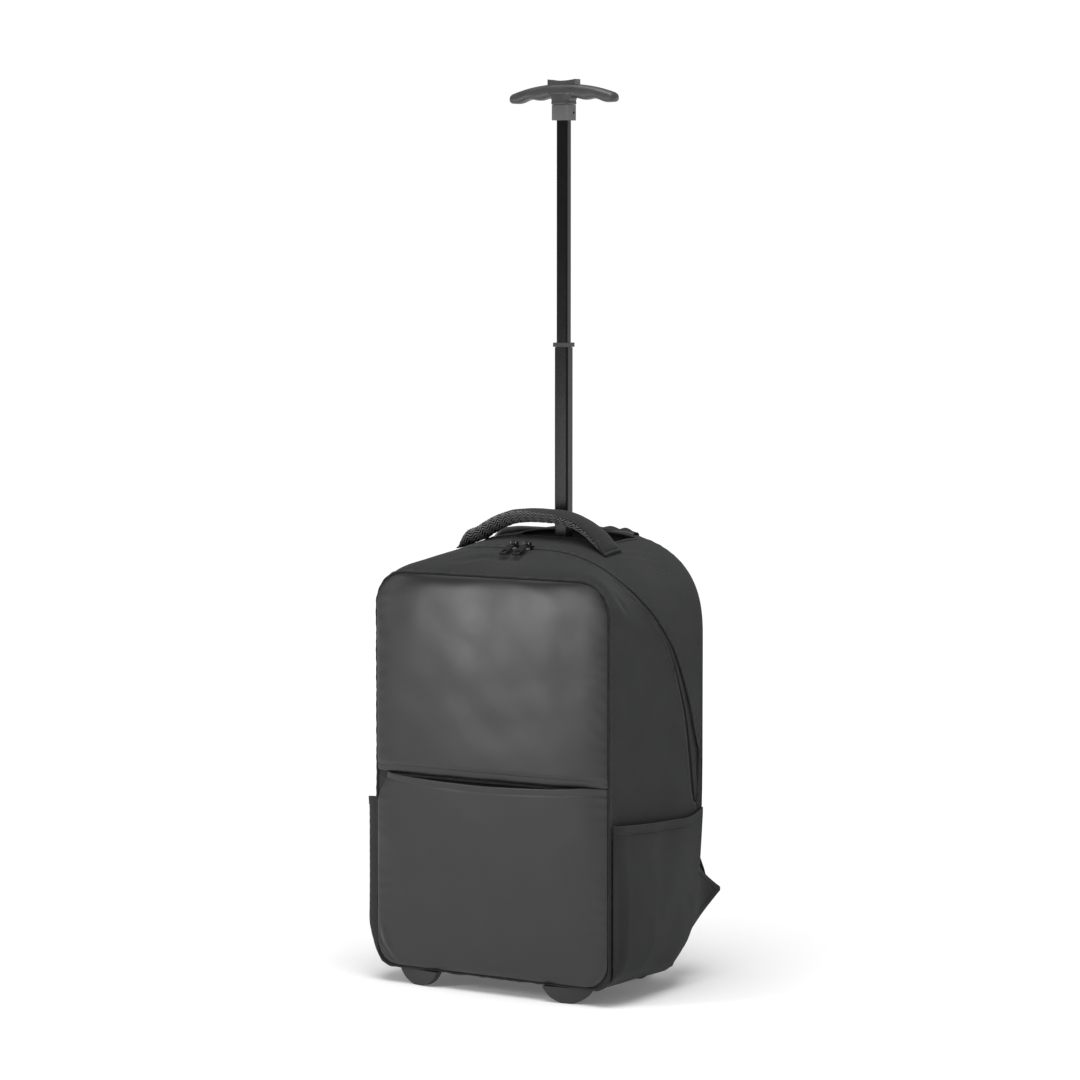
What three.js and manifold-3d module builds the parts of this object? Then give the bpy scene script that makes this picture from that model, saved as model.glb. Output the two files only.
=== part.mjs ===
// Wheeled backpack: a soft two-shell body with a coated front panel, a slit front pocket, two side
// pockets, a padded grab handle and shoulder straps, a single telescopic pole with a T grip, two
// standing feet under the front edge and a wheel carriage at the bottom of the back.
// Millimetres, +Z up, +X to the right of someone who faces the front, +Y towards the back.
// The origin is on the floor, halfway between the front panel and the tips of the strap wings.
import * as THREE from "three";
import { mergeVertices } from "three/addons/utils/BufferGeometryUtils.js";
import Module from "manifold-3d";

const wasm = await Module();
wasm.setup();

// Driving sizes of the bag
const BODY_WIDTH = 305;
const BODY_DEPTH = 196;
const BODY_TOP = 497;
const BODY_FLOOR = 18;
const BOTTOM_CORNER = 20;
const BACK_ROUND = 9;
const CLOTH = 2.2;
const GAP = 0.3;

// Front panels and the welt round them
const PANEL_BULGE = 8;
const PANEL_INSET = 4.5;
const PANEL_EDGE = 2;
const PANEL_TOP_ROUND = 36;
const PANEL_FOOT_ROUND = 28;
const PANEL_TOP_SWELL = 34;
const PANEL_FOOT_SWELL = 26;
const SLIT_HEIGHT = 236;
const SLIT_GAPE = 6;
const SLIT_SHUT = 0.6;
const SLIT_TAPE_THICK = 1.1;
const SLIT_TAPE_BELOW = 5;
const SLIT_TAPE_INSET = 12;
const LIP_CLOTH = 1.8;
const WELT_WIDTH = 4;
const WELT_HEIGHT = 3;

// Main zip
const ZIP_TAPE_WIDTH = 30;
const ZIP_TAPE_THICK = 1.2;
const ZIP_GAP_TOP = 6;
const ZIP_GAP_SIDE = 19;
const ZIP_LOW_END = 197;
const ZIP_OPENS_OVER = 30;
const ZIP_TAPE_BELOW = 38;
const SEAM_GAP = 1.4;

// Zip sliders and pulls
const SLIDER_LENGTH = 11;
const SLIDER_WIDTH = 9;
const SLIDER_THICK = 1.8;
const SLIDER_RISE = 2.2;
const STEM_LENGTH = 8;
const STEM_WIDTH = 3;
const PIN_RADIUS = 1;
const PIN_AHEAD = 2;
const CHEEK_GAP = 4.4;
const CHEEK_THICK = 1.6;
const CHEEK_DEPTH = 5.5;
const EYE_RADIUS = 2.3;
const EYE_WIDTH = 3.8;
const EYE_CLEAR = 0.4;
const PULL_LENGTH = 25;
const PULL_WIDTH = 8.5;
const PULL_THICK = 1.6;
const PULL_NECK = 6;
const PULL_WINDOW = 5;
const PULL_RIM = 3;
const PULL_LIE = 0.45;
const PULL_OFFSET = 8.5;
const PULL_CENTRE = 8;

// Side pockets
const POCKET_TOP = 187;
const POCKET_FOOT = 26;
const POCKET_PROUD = 14;
const POCKET_FRONT_RISE = 9;
const POCKET_BACK_RISE = 8;
const POCKET_CLOTH = 2;
const POCKET_SEAM = 2;

// Handle pocket in the top
const STOW_WIDTH = 160;
const STOW_FRONT = 100;
const STOW_LENGTH = 78;
const STOW_DEPTH = 65;
const STOW_CLOTH = 1.6;
const STOW_SEAM = 1;

// The pocket's cover flap
const FLAP_WIDTH = 128;
const FLAP_CLOTH = 1.6;
const FLAP_DROP = 44;
const FLAP_BEND = 8;
const FLAP_SEWN = 5;
const FLAP_OFF = 1;
const FLAP_RIPPLE = 1.4;

// Pole, from the fixed tube outwards
const POLE_BACK = 143;
const POLE_STUB = 6;
const TUBE_WALL = 1.2;
const TUBE_CORNER = 2;
const TUBE_CORNER_STEP = 0.5;
const UPPER_TUBE = { wide: 14, deep: 10 };
const TUBE_PLAY = 0.4;
const LOWER_STAGE_OUT = 262;
const UPPER_STAGE_OUT = 244;
const STAGE_OVERLAP = 58;
const COLLAR_HEIGHT = 5;
const COLLAR_LIP = 0.8;

// T grip
const GRIP_WIDTH = 138;
const GRIP_THICK = 18;
const GRIP_HEIGHT = 22;
const GRIP_DROOP = 11.5;
const GRIP_ARCH = 5.2;
const FINGER_WAVE = 1.1;
const SOCKET_SIDE = 19.2;
const SOCKET_HEIGHT = 17;
const SOCKET_PIN_RADIUS = 1.7;
const SOCKET_PIN_DEPTH = 2.5;
const SOCKET_PIN_BACK = 5.3;
const TUBE_SHORT = 2;
const NECK_HEIGHT = 7;
const NECK_LIP = 1.9;
const NECK_FLARE = 4;
const BUTTON_WIDTH = 36;
const BUTTON_DEEP = 11;
const BUTTON_TALL = 7;
const BUTTON_PROUD = 5;
const BUTTON_DISH = 1.6;
const BUTTON_TRAVEL = 3;
const BUTTON_PLAY = 0.4;

// Grab handle
const HANDLE_SPAN = 196;
const HANDLE_BACK = 92;
const HANDLE_RISE = 20;
const HANDLE_THICK = 13;
const HANDLE_WIDE = 27;
const HANDLE_END_THICK = 3.2;
const HANDLE_END_WIDER = 6;

// Wheels and their carriage
const WHEEL_RADIUS = 30;
const WHEEL_WIDTH = 22;
const WHEEL_TRACK = 164;
const WHEEL_BACK = 168;
const WHEEL_CLEAR = 3.5;
const WHEEL_SIDE_CLEAR = 1;
const TYRE_THICK = 6;
const TYRE_SHOULDER = 5;
const TREAD_DROP = 3;
const HUB_RECESS = 4;
const HUB_BOSS = 5;
const HUB_PLAY = 0.45;
const AXLE_RADIUS = 3;
const EAR_THICK = 6;
const EAR_RADIUS = 11;
const CARRIAGE_TOP = 66.6;
const CARRIAGE_FRONT = 130;
const CARRIAGE_WALL = 4;
const CARRIAGE_ROOF = 5;
const CARRIAGE_BACK = 12;
const CARRIAGE_BEVEL = 16;

// Standing feet
const FOOT_RADIUS = 32;
const FOOT_THICK = 9;
const FOOT_SPREAD = 96.6;
const FOOT_BACK = 4;
const FOOT_TOE_OUT = 12;
const FOOT_FLAT = 10;

// Back pad and shoulder straps
const PAD_WIDTH = 236;
const PAD_NARROWING = 18;
const PAD_BELOW_TOP = 62;
const PAD_ABOVE_CARRIAGE = 8;
const PAD_THICK = 8;
const PAD_EDGE = 2.5;
const PAD_GROOVE = 3.5;
const STRAP_WIDTH = 60;
const STRAP_THICK = 9;
const STRAP_BOW = 29;
const STRAP_SEWN = 6;
const BUCKLE_WIDTH = 36;
const BUCKLE_THICK = 6;
const BUCKLE_HEIGHT = 8;
const WEBBING_WIDTH = 20;
const WEBBING_THICK = 1.8;

// Wings: the triangles of cloth that the webbing ends on
const WING_REACH = 62;
const WING_INSET = 14.5;
const WING_FOOT = 39;
const WING_ROOT = 81;
const WING_TIP_RISE = 32;
const WING_TIP = 10;
const WING_CLOTH = 3;
const WING_BOW = 10;
const WING_LEAN = 4;
const WING_OFF = 1;

// Form of the body by depth: shares of BODY_DEPTH, BODY_TOP, and of half the width for the corner
const TOP_FORM = [
  { depth: 0, top: 0.9205, wide: 0.255, tall: 0.255, power: 2 },
  { depth: 0.06, top: 0.9415, wide: 0.38, tall: 0.32, power: 2 },
  { depth: 0.25, top: 0.9744, wide: 0.78, tall: 0.53, power: 2.06 },
  { depth: 0.5, top: 0.9905, wide: 0.885, tall: 0.645, power: 2.35 },
  { depth: 0.765, top: 0.9985, wide: 0.97, tall: 0.73, power: 2.55 },
  { depth: 1, top: 1, wide: 0.985, tall: 0.76, power: 2.65 },
];
// The rounded lower back: how far the underside has risen, as a share of BODY_TOP less the floor
const BACK_FORM = [
  { depth: 0, rise: 0 },
  { depth: 0.663, rise: 0 },
  { depth: 0.745, rise: 0.0166 },
  { depth: 0.806, rise: 0.0362 },
  { depth: 0.847, rise: 0.0518 },
  { depth: 0.878, rise: 0.0704 },
  { depth: 0.908, rise: 0.124 },
  { depth: 0.934, rise: 0.201 },
  { depth: 0.954, rise: 0.273 },
  { depth: 0.974, rise: 0.366 },
  { depth: 0.99, rise: 0.449 },
  { depth: 1, rise: 0.522 },
];
// Where the zip and the seam below it run, seen from the side: shares of BODY_TOP and BODY_DEPTH
const ZIP_FORM = [
  { height: 0.04, depth: 0.768 },
  { height: 0.121, depth: 0.83 },
  { height: 0.242, depth: 0.872 },
  { height: 0.396, depth: 0.908 },
  { height: 0.479, depth: 0.878 },
  { height: 0.592, depth: 0.82 },
  { height: 0.662, depth: 0.755 },
  { height: 0.755, depth: 0.632 },
  { height: 0.812, depth: 0.5 },
  { height: 0.873, depth: 0.345 },
  { height: 0.921, depth: 0.265 },
  { height: 0.975, depth: 0.235 },
  { height: 1.02, depth: 0.23 },
];
// The grab handle's middle line: shares of half its span and of its rise over its ends
const HANDLE_LINE = [
  { across: -1, rise: 0 },
  { across: -0.7, rise: 0.52 },
  { across: -0.48, rise: 0.8 },
  { across: -0.29, rise: 0.945 },
  { across: -0.03, rise: 1 },
  { across: 0.26, rise: 0.985 },
  { across: 0.49, rise: 0.88 },
  { across: 0.7, rise: 0.64 },
  { across: 0.87, rise: 0.32 },
  { across: 1, rise: 0 },
];
// A shoulder strap's middle line below its sewn end: shares of half the width, of the pad's thickness
// that it lies over, of STRAP_BOW and of BODY_TOP
const STRAP_LINE = [
  { along: 0, out: 0.302, over: 0, bow: 0, height: 0.889 },
  { along: 0.1, out: 0.328, over: 1, bow: 0.28, height: 0.861 },
  { along: 0.3, out: 0.42, over: 1, bow: 0.77, height: 0.761 },
  { along: 0.5, out: 0.511, over: 1, bow: 1, height: 0.648 },
  { along: 0.7, out: 0.584, over: 1, bow: 1, height: 0.539 },
  { along: 0.88, out: 0.636, over: 1, bow: 0.77, height: 0.447 },
  { along: 1, out: 0.656, over: 1, bow: 0.52, height: 0.394 },
];
// The webbing's line: shares of the way out, back and down from the buckle to the wing
const WEBBING_LINE = [
  { out: 0, back: 0, down: 0 },
  { out: 0, back: 0, down: 0.05 },
  { out: 0.44, back: 0.2, down: 0.38 },
  { out: 1, back: 0.59, down: 0.8 },
  { out: 1, back: 1, down: 1 },
];

const HALF = BODY_WIDTH / 2;
// The front rim of the body, with the origin halfway between the panel's face and the wing tips
const RIM_Y = (PANEL_BULGE - BODY_DEPTH - WING_REACH) / 2;

// One column of a table at a place between its rows
function read(table, key, place, column) {
  if (place <= table[0][key]) return table[0][column];
  for (let i = 1; i < table.length; i++) {
    const a = table[i - 1];
    const b = table[i];
    if (place <= b[key]) {
      const t = (place - a[key]) / (b[key] - a[key]);
      return a[column] + t * (b[column] - a[column]);
    }
  }
  return table[table.length - 1][column];
}

const mix = (a, b, t) => a + (b - a) * t;
const limit = (value) => Math.min(1, Math.max(0, value));
const topZ = (s) => BODY_TOP * read(TOP_FORM, "depth", s / BODY_DEPTH, "top");
const bottomZ = (s) =>
  BODY_FLOOR + (BODY_TOP - BODY_FLOOR) * read(BACK_FORM, "depth", s / BODY_DEPTH, "rise");
const zipDepth = (z) => BODY_DEPTH * read(ZIP_FORM, "height", z / BODY_TOP, "depth");
const yOf = (s) => RIM_Y + s;

// Steps of half an outline, from the middle of the bottom to the middle of the top
const BOTTOM_STEPS = 3;
const BOTTOM_ARC_STEPS = 4;
const SIDE_STEPS = 5;
const TOP_ARC_STEPS = 8;
const TOP_STEPS = 2;
const HALF_STEPS = BOTTOM_STEPS + BOTTOM_ARC_STEPS + SIDE_STEPS + TOP_ARC_STEPS + TOP_STEPS;
const RING = HALF_STEPS * 2;

// A point of the body's outline at depth s, taken in by inset
function bodyPoint(step, s, inset) {
  const mirrored = step > HALF_STEPS;
  const k = mirrored ? RING - step : step;
  const half = HALF - inset;
  const low = bottomZ(Math.min(s + inset, BODY_DEPTH)) + inset;
  const high = topZ(s) - inset;
  const share = s / BODY_DEPTH;
  const wide = read(TOP_FORM, "depth", share, "wide") * HALF - inset * 0.9;
  const tall = read(TOP_FORM, "depth", share, "tall") * HALF - inset * 0.9;
  const power = read(TOP_FORM, "depth", share, "power");
  const round = BOTTOM_CORNER - inset / 2;
  const arcStart = BOTTOM_STEPS + BOTTOM_ARC_STEPS;
  let x;
  let z;
  if (k <= BOTTOM_STEPS) {
    x = ((half - round) * k) / BOTTOM_STEPS;
    z = low;
  } else if (k <= arcStart) {
    const a = (((k - BOTTOM_STEPS) / BOTTOM_ARC_STEPS) * Math.PI) / 2;
    x = half - round + round * Math.sin(a);
    z = low + round - round * Math.cos(a);
  } else if (k <= arcStart + SIDE_STEPS) {
    x = half;
    z = mix(low + round, high - tall, (k - arcStart) / SIDE_STEPS);
  } else if (k <= HALF_STEPS - TOP_STEPS) {
    const a = (((k - arcStart - SIDE_STEPS) / TOP_ARC_STEPS) * Math.PI) / 2;
    x = half - wide + wide * Math.cos(a) ** (2 / power);
    z = high - tall + tall * Math.sin(a) ** (2 / power);
  } else {
    x = (half - wide) * ((HALF_STEPS - k) / TOP_STEPS);
    z = high;
  }
  return new THREE.Vector3(mirrored ? -x : x, yOf(s), z);
}

// Where the zip's middle crosses each step of the outline, found by closing in on it
function zipAt(step) {
  let s = BODY_DEPTH / 2;
  for (let i = 0; i < 40; i++) s = mix(s, zipDepth(bodyPoint(step, s, 0).z), 0.5);
  return s;
}
const ZIP_AT = Array.from({ length: RING }, (_, i) => zipAt(i));

// Half the opening that the zip shows in: wide on the sides, narrow on the top, shut below
function zipHalfGap(step) {
  const over = bodyPoint(step, ZIP_AT[step], 0).z - ZIP_LOW_END;
  if (over < 0) return SEAM_GAP / 2;
  const share = Math.min(1, over / (BODY_TOP - ZIP_LOW_END));
  const width = mix(ZIP_GAP_SIDE, ZIP_GAP_TOP, Math.min(1, share * share * 1.35));
  return mix(SEAM_GAP, width, Math.min(1, over / ZIP_OPENS_OVER)) / 2;
}

// Height of the body's top over a place
function bodySurface(x, s) {
  for (let i = HALF_STEPS; i > 0; i--) {
    const a = bodyPoint(i, s, 0);
    const b = bodyPoint(i - 1, s, 0);
    if (Math.abs(x) <= b.x) return mix(a.z, b.z, (Math.abs(x) - a.x) / Math.max(1e-6, b.x - a.x));
  }
  return topZ(s);
}

// How far back the body reaches at a place across and a height
function backSurface(x, z) {
  for (let s = BODY_DEPTH; s > 0; s -= 0.5) {
    for (let i = 0; i < HALF_STEPS; i++) {
      const a = bodyPoint(i, s, 0);
      const b = bodyPoint(i + 1, s, 0);
      if (z < a.z || z > b.z || a.z === b.z) continue;
      if (mix(a.x, b.x, (z - a.z) / (b.z - a.z)) >= Math.abs(x)) return s;
    }
  }
  return 0;
}

// How far back the middle of the underside is still at or below a height
function backContour(z) {
  let s = BODY_DEPTH;
  while (s > 0 && bottomZ(s) > z) s -= 0.5;
  return s;
}

// A geometry from triangles given as corner points
function solid(triangles) {
  const positions = new Float32Array(triangles.length * 3);
  triangles.forEach((p, i) => positions.set([p.x, p.y, p.z], i * 3));
  const geometry = new THREE.BufferGeometry();
  geometry.setAttribute("position", new THREE.BufferAttribute(positions, 3));
  return geometry;
}

// Triangles between the rows of a grid; wrap joins each row's end to its start
function grid(out, rows, wrap, flip) {
  for (let r = 0; r + 1 < rows.length; r++) {
    const n = rows[r].length;
    for (let i = 0; i < (wrap ? n : n - 1); i++) {
      const j = (i + 1) % n;
      const [a, b, c, d] = [rows[r][i], rows[r][j], rows[r + 1][j], rows[r + 1][i]];
      if (flip) out.push(d, c, b, d, b, a);
      else out.push(a, b, c, a, c, d);
    }
  }
}

// A flat lid over a ring, seen along the y axis
function lidY(out, ring, flip) {
  const flat = ring.map((p) => new THREE.Vector2(p.x, p.z));
  for (const corners of THREE.ShapeUtils.triangulateShape(flat, [])) {
    const t = corners.map((i) => ring[i]);
    if (flip) t.reverse();
    out.push(...t);
  }
}

// A fan over a ring from its middle
function fan(out, ring, flip) {
  const middle = ring.reduce((m, p) => m.add(p), new THREE.Vector3()).divideScalar(ring.length);
  ring.forEach((p, i) => {
    const t = [middle, p, ring[(i + 1) % ring.length]];
    if (flip) t.reverse();
    out.push(...t);
  });
}

// Turns a closed mesh the right way out
function facingOut(geometry) {
  const p = geometry.getAttribute("position");
  const [a, b, c] = [new THREE.Vector3(), new THREE.Vector3(), new THREE.Vector3()];
  let volume = 0;
  for (let i = 0; i < p.count; i += 3) {
    a.fromBufferAttribute(p, i);
    b.fromBufferAttribute(p, i + 1);
    c.fromBufferAttribute(p, i + 2);
    volume += a.dot(b.cross(c));
  }
  if (volume > 0) return geometry;
  for (let i = 0; i < p.count; i += 3) {
    a.fromBufferAttribute(p, i);
    c.fromBufferAttribute(p, i + 2);
    p.setXYZ(i, c.x, c.y, c.z);
    p.setXYZ(i + 2, a.x, a.y, a.z);
  }
  return geometry;
}

// A solid through closed rings with flat ends
function loft(rings) {
  const out = [];
  grid(out, rings, true, false);
  fan(out, rings[0], true);
  fan(out, rings[rings.length - 1], false);
  return facingOut(solid(out));
}

// A thin solid between two skins of the same grid, closed round its edge
function sheet(front, back) {
  const out = [];
  grid(out, front, false, false);
  grid(out, back, false, true);
  const rim = (rows) => [
    ...rows[0],
    ...rows.slice(1).map((r) => r[r.length - 1]),
    ...rows[rows.length - 1].slice(0, -1).reverse(),
    ...rows
      .slice(1, -1)
      .map((r) => r[0])
      .reverse(),
  ];
  grid(out, [rim(back), rim(front)], true, false);
  return facingOut(solid(out));
}

const box = (x0, x1, y0, y1, z0, z1) =>
  new THREE.BoxGeometry(x1 - x0, y1 - y0, z1 - z0).translate(
    (x0 + x1) / 2,
    (y0 + y1) / 2,
    (z0 + z1) / 2,
  );

// A round bar along the x axis
const rod = (radius, x0, x1, sides) =>
  new THREE.CylinderGeometry(radius, radius, x1 - x0, sides)
    .rotateZ(Math.PI / 2)
    .translate((x0 + x1) / 2, 0, 0);

// Joining and cutting
function toSolid(geometry) {
  const plain = geometry.index ? geometry.toNonIndexed() : geometry.clone();
  plain.deleteAttribute("normal");
  plain.deleteAttribute("uv");
  const merged = mergeVertices(plain, 1e-3);
  return new wasm.Manifold(
    new wasm.Mesh({
      numProp: 3,
      vertProperties: merged.getAttribute("position").array,
      triVerts: new Uint32Array(merged.index.array),
    }),
  );
}

function toGeometry(made) {
  const mesh = made.getMesh();
  const geometry = new THREE.BufferGeometry();
  geometry.setAttribute("position", new THREE.BufferAttribute(mesh.vertProperties, 3));
  geometry.setIndex(new THREE.BufferAttribute(mesh.triVerts, 1));
  return geometry;
}

const cut = (geometry, ...tools) =>
  toGeometry(tools.reduce((s, t) => s.subtract(toSolid(t)), toSolid(geometry)));
const join = (geometry, ...others) =>
  toGeometry(others.reduce((s, t) => s.add(toSolid(t)), toSolid(geometry)));
// How far a cutting tool runs past what it cuts
const PAST = 50;

// Body shells: rows by their share of the way from the rim to the zip, and from the zip to the back
const FRONT_ROWS = [0, 0.08, 0.25, 0.5, 0.75, 0.9, 1];
const BACK_ROWS = [
  { way: 0, round: 0 },
  { way: 0.155, round: 0 },
  { way: 0.33, round: 0 },
  { way: 0.467, round: 0 },
  { way: 0.6, round: 0 },
  { way: 0.711, round: 0 },
  { way: 0.8, round: 0 },
  { way: 0.889, round: 0 },
  { way: 0.956, round: 1 / 3 },
  { way: 1, round: 1 },
];

const axleY = yOf(WHEEL_BACK);
const wellHalf = WHEEL_WIDTH / 2 + WHEEL_SIDE_CLEAR;
const carriageHalf = WHEEL_TRACK / 2 + wellHalf + EAR_THICK;
const carriageNotch = () =>
  box(
    -carriageHalf - GAP,
    carriageHalf + GAP,
    yOf(CARRIAGE_FRONT) - GAP,
    yOf(BODY_DEPTH) + PAST,
    -PAST,
    CARRIAGE_TOP + GAP,
  );

function frontShell() {
  const skin = (inset) =>
    FRONT_ROWS.map((v) =>
      ZIP_AT.map((s, i) => bodyPoint(i, mix(inset, s - zipHalfGap(i), v), inset)),
    );
  const outer = skin(0);
  const inner = skin(CLOTH);
  const out = [];
  grid(out, outer, true, false);
  grid(out, inner, true, true);
  grid(out, [outer[outer.length - 1], inner[inner.length - 1]], true, false);
  lidY(out, outer[0], true);
  lidY(out, inner[0], false);
  return cut(facingOut(solid(out)), carriageNotch());
}

function backSkin(inset) {
  return BACK_ROWS.map((row) =>
    ZIP_AT.map((s, i) => {
      const depth = mix(s + zipHalfGap(i), BODY_DEPTH - inset, row.way);
      return bodyPoint(i, depth, inset + row.round * BACK_ROUND);
    }),
  );
}

const stowFloor = BODY_TOP - STOW_DEPTH;
function stowHole(margin) {
  return box(
    -STOW_WIDTH / 2 + margin,
    STOW_WIDTH / 2 - margin,
    yOf(STOW_FRONT) + margin,
    yOf(STOW_FRONT + STOW_LENGTH) - margin,
    stowFloor + STOW_CLOTH,
    BODY_TOP + PAST,
  );
}

function backShell() {
  const outer = backSkin(0);
  const inner = backSkin(CLOTH);
  const out = [];
  grid(out, outer, true, false);
  grid(out, inner, true, true);
  grid(out, [inner[0], outer[0]], true, false);
  lidY(out, outer[outer.length - 1], false);
  lidY(out, inner[inner.length - 1], true);
  return cut(facingOut(solid(out)), carriageNotch(), stowHole(STOW_CLOTH + STOW_SEAM));
}

// Each tube of the pole is wider than the one inside it by a wall and its play on both sides
const widened = (tube) => ({
  wide: tube.wide + 2 * (TUBE_PLAY + TUBE_WALL),
  deep: tube.deep + 2 * (TUBE_PLAY + TUBE_WALL),
});
const MIDDLE_TUBE = widened(UPPER_TUBE);
const OUTER_TUBE = widened(MIDDLE_TUBE);

// The open pocket in the top that the folded handle sits in, with a hole for the pole
function handlePocket() {
  const rows = backSkin(CLOTH + GAP);
  const inside = [];
  grid(inside, rows, true, false);
  lidY(inside, rows[0], true);
  lidY(inside, rows[rows.length - 1], false);
  const block = toSolid(
    box(
      -STOW_WIDTH / 2,
      STOW_WIDTH / 2,
      yOf(STOW_FRONT),
      yOf(STOW_FRONT + STOW_LENGTH),
      stowFloor,
      BODY_TOP + PAST,
    ),
  );
  const y = yOf(POLE_BACK);
  const poleHole = box(
    -OUTER_TUBE.wide / 2 - GAP,
    OUTER_TUBE.wide / 2 + GAP,
    y - OUTER_TUBE.deep / 2 - GAP,
    y + OUTER_TUBE.deep / 2 + GAP,
    stowFloor - PAST,
    stowFloor + PAST,
  );
  return toGeometry(
    block
      .intersect(toSolid(facingOut(solid(inside))))
      .subtract(toSolid(stowHole(STOW_CLOTH)))
      .subtract(toSolid(poleHole)),
  );
}

// The pocket's cover flap, turned back over the rear edge and hanging behind the bag
const FLAP_STATIONS = [
  { across: -1, ripple: 0 },
  { across: -0.8, ripple: 0 },
  { across: -0.4, ripple: 0 },
  { across: 0, ripple: 0 },
  { across: 0.16, ripple: 0.2 },
  { across: 0.26, ripple: 0.85 },
  { across: 0.36, ripple: 0.15 },
  { across: 0.46, ripple: 1 },
  { across: 0.57, ripple: 0.15 },
  { across: 0.7, ripple: 0.8 },
  { across: 0.85, ripple: 0 },
  { across: 1, ripple: 0 },
];
function pocketFlap() {
  const back = yOf(BODY_DEPTH);
  const start = STOW_FRONT + STOW_LENGTH + FLAP_OFF;
  const rows = (more) =>
    FLAP_STATIONS.map(({ across, ripple }) => {
      const x = (across * FLAP_WIDTH) / 2;
      const top = bodySurface(x, BODY_DEPTH) + FLAP_OFF;
      const seat =
        Math.max(bodySurface(x, start), bodySurface(x, BODY_DEPTH - BACK_ROUND)) + FLAP_OFF;
      const lift = ripple * FLAP_RIPPLE;
      const hang = back + FLAP_OFF + more;
      return [
        new THREE.Vector3(x, yOf(start), seat + more),
        new THREE.Vector3(x, yOf(start) + FLAP_SEWN, seat + lift * 0.8 + more),
        new THREE.Vector3(x, back - FLAP_SEWN, top + lift + more),
        new THREE.Vector3(x, hang - more * 0.3, top + (lift + more) * 0.6),
        new THREE.Vector3(x, hang + FLAP_OFF, top - FLAP_BEND),
        new THREE.Vector3(x, hang, top - FLAP_DROP * 0.6),
        new THREE.Vector3(x, hang, top - FLAP_DROP),
      ];
    });
  return sheet(rows(FLAP_CLOTH), rows(0));
}

// Main zip: the tape under both shells' edges
function zipTape() {
  const first = ZIP_AT.findIndex((s, i) => bodyPoint(i, s, 0).z > ZIP_LOW_END - ZIP_TAPE_BELOW);
  const steps = [];
  for (let i = first; i <= RING - first; i += 0.5) steps.push(i);
  const at = (step, along, inset) => {
    const low = Math.floor(step);
    const high = Math.ceil(step);
    const s = (ZIP_AT[low] + ZIP_AT[high]) / 2 + along;
    return bodyPoint(low, s, inset).lerp(bodyPoint(high, s, inset), step % 1);
  };
  const half = ZIP_TAPE_WIDTH / 2;
  const under = CLOTH + 3 * GAP;
  const skin = (inset) => [-half, 0, half].map((w) => steps.map((i) => at(i, w, inset)));
  return sheet(skin(under), skin(under + ZIP_TAPE_THICK));
}

// The point of the zip's middle line over a place across the top
function zipPlace(x) {
  const s = ZIP_AT[HALF_STEPS];
  let step = HALF_STEPS;
  while (bodyPoint(step, s, 0).x < Math.abs(x)) step -= 1;
  const a = bodyPoint(step, s, 0);
  const b = bodyPoint(step + 1, s, 0);
  const p = b.lerp(a, (Math.abs(x) - b.x) / (a.x - b.x));
  p.x *= Math.sign(x);
  return p;
}

// The slider's stem stands in the zip's opening; two cheeks over it hold the pull's pin
const PIN_RISE = SLIDER_RISE + SLIDER_THICK + EYE_RADIUS + GAP;
function slider(x) {
  const p = zipPlace(x);
  const top = p.z + SLIDER_RISE + SLIDER_THICK;
  const base = box(
    p.x - SLIDER_LENGTH / 2,
    p.x + SLIDER_LENGTH / 2,
    p.y - SLIDER_WIDTH / 2,
    p.y + SLIDER_WIDTH / 2,
    p.z + SLIDER_RISE,
    top,
  );
  const stem = box(
    p.x - STEM_LENGTH / 2,
    p.x + STEM_LENGTH / 2,
    p.y - STEM_WIDTH / 2,
    p.y + STEM_WIDTH / 2,
    p.z - CLOTH,
    top - SLIDER_THICK / 2,
  );
  const reach = CHEEK_GAP / 2 + CHEEK_THICK / 2;
  const pinY = p.y - PIN_AHEAD;
  const pin = rod(PIN_RADIUS, p.x - reach, p.x + reach, 8).translate(0, pinY, p.z + PIN_RISE);
  const cheek = (side) =>
    box(
      p.x + side * reach - CHEEK_THICK / 2,
      p.x + side * reach + CHEEK_THICK / 2,
      pinY - PIN_RADIUS - PIN_RADIUS / 2,
      pinY - PIN_RADIUS - PIN_RADIUS / 2 + CHEEK_DEPTH,
      top - SLIDER_THICK / 2,
      p.z + PIN_RISE + 1.5 * PIN_RADIUS,
    );
  return join(base, stem, pin, cheek(1), cheek(-1));
}

// The tab is turned about the slider's pin, so that it lies along the slope of the top
function pull(x) {
  const p = zipPlace(x);
  const half = EYE_WIDTH / 2;
  const under = -PULL_THICK / 2;
  const over = PULL_THICK / 2;
  const eye = rod(EYE_RADIUS, -half, half, 10);
  const tab = box(-PULL_WIDTH / 2, PULL_WIDTH / 2, -PULL_LENGTH, -PULL_NECK, under, over);
  const neck = box(-half, half, -PULL_NECK - 1, -PIN_RADIUS - EYE_CLEAR, under, over);
  const window = box(
    -PULL_WIDTH / 2 + 0.6 * PULL_RIM,
    PULL_WIDTH / 2 - 0.6 * PULL_RIM,
    -PULL_LENGTH + PULL_RIM,
    -PULL_LENGTH + PULL_RIM + PULL_WINDOW,
    -PAST,
    PAST,
  );
  return cut(join(eye, tab, neck), rod(PIN_RADIUS + EYE_CLEAR, -half - 1, half + 1, 10), window)
    .rotateX(PULL_LIE)
    .translate(p.x, p.y - PIN_AHEAD, p.z + PIN_RISE);
}

// Front panels, set on the flat front of the front shell
const panelHigh = topZ(0) - PANEL_INSET;
const panelLow = BODY_FLOOR + PANEL_INSET;
function panelOutline(z) {
  const half = HALF - PANEL_INSET;
  const corner = (round, into) => half - round + round * Math.sqrt(1 - limit(into / round) ** 2);
  return Math.min(
    corner(PANEL_TOP_ROUND, z - panelHigh + PANEL_TOP_ROUND),
    corner(PANEL_FOOT_ROUND, panelLow + PANEL_FOOT_ROUND - z),
  );
}

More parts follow.
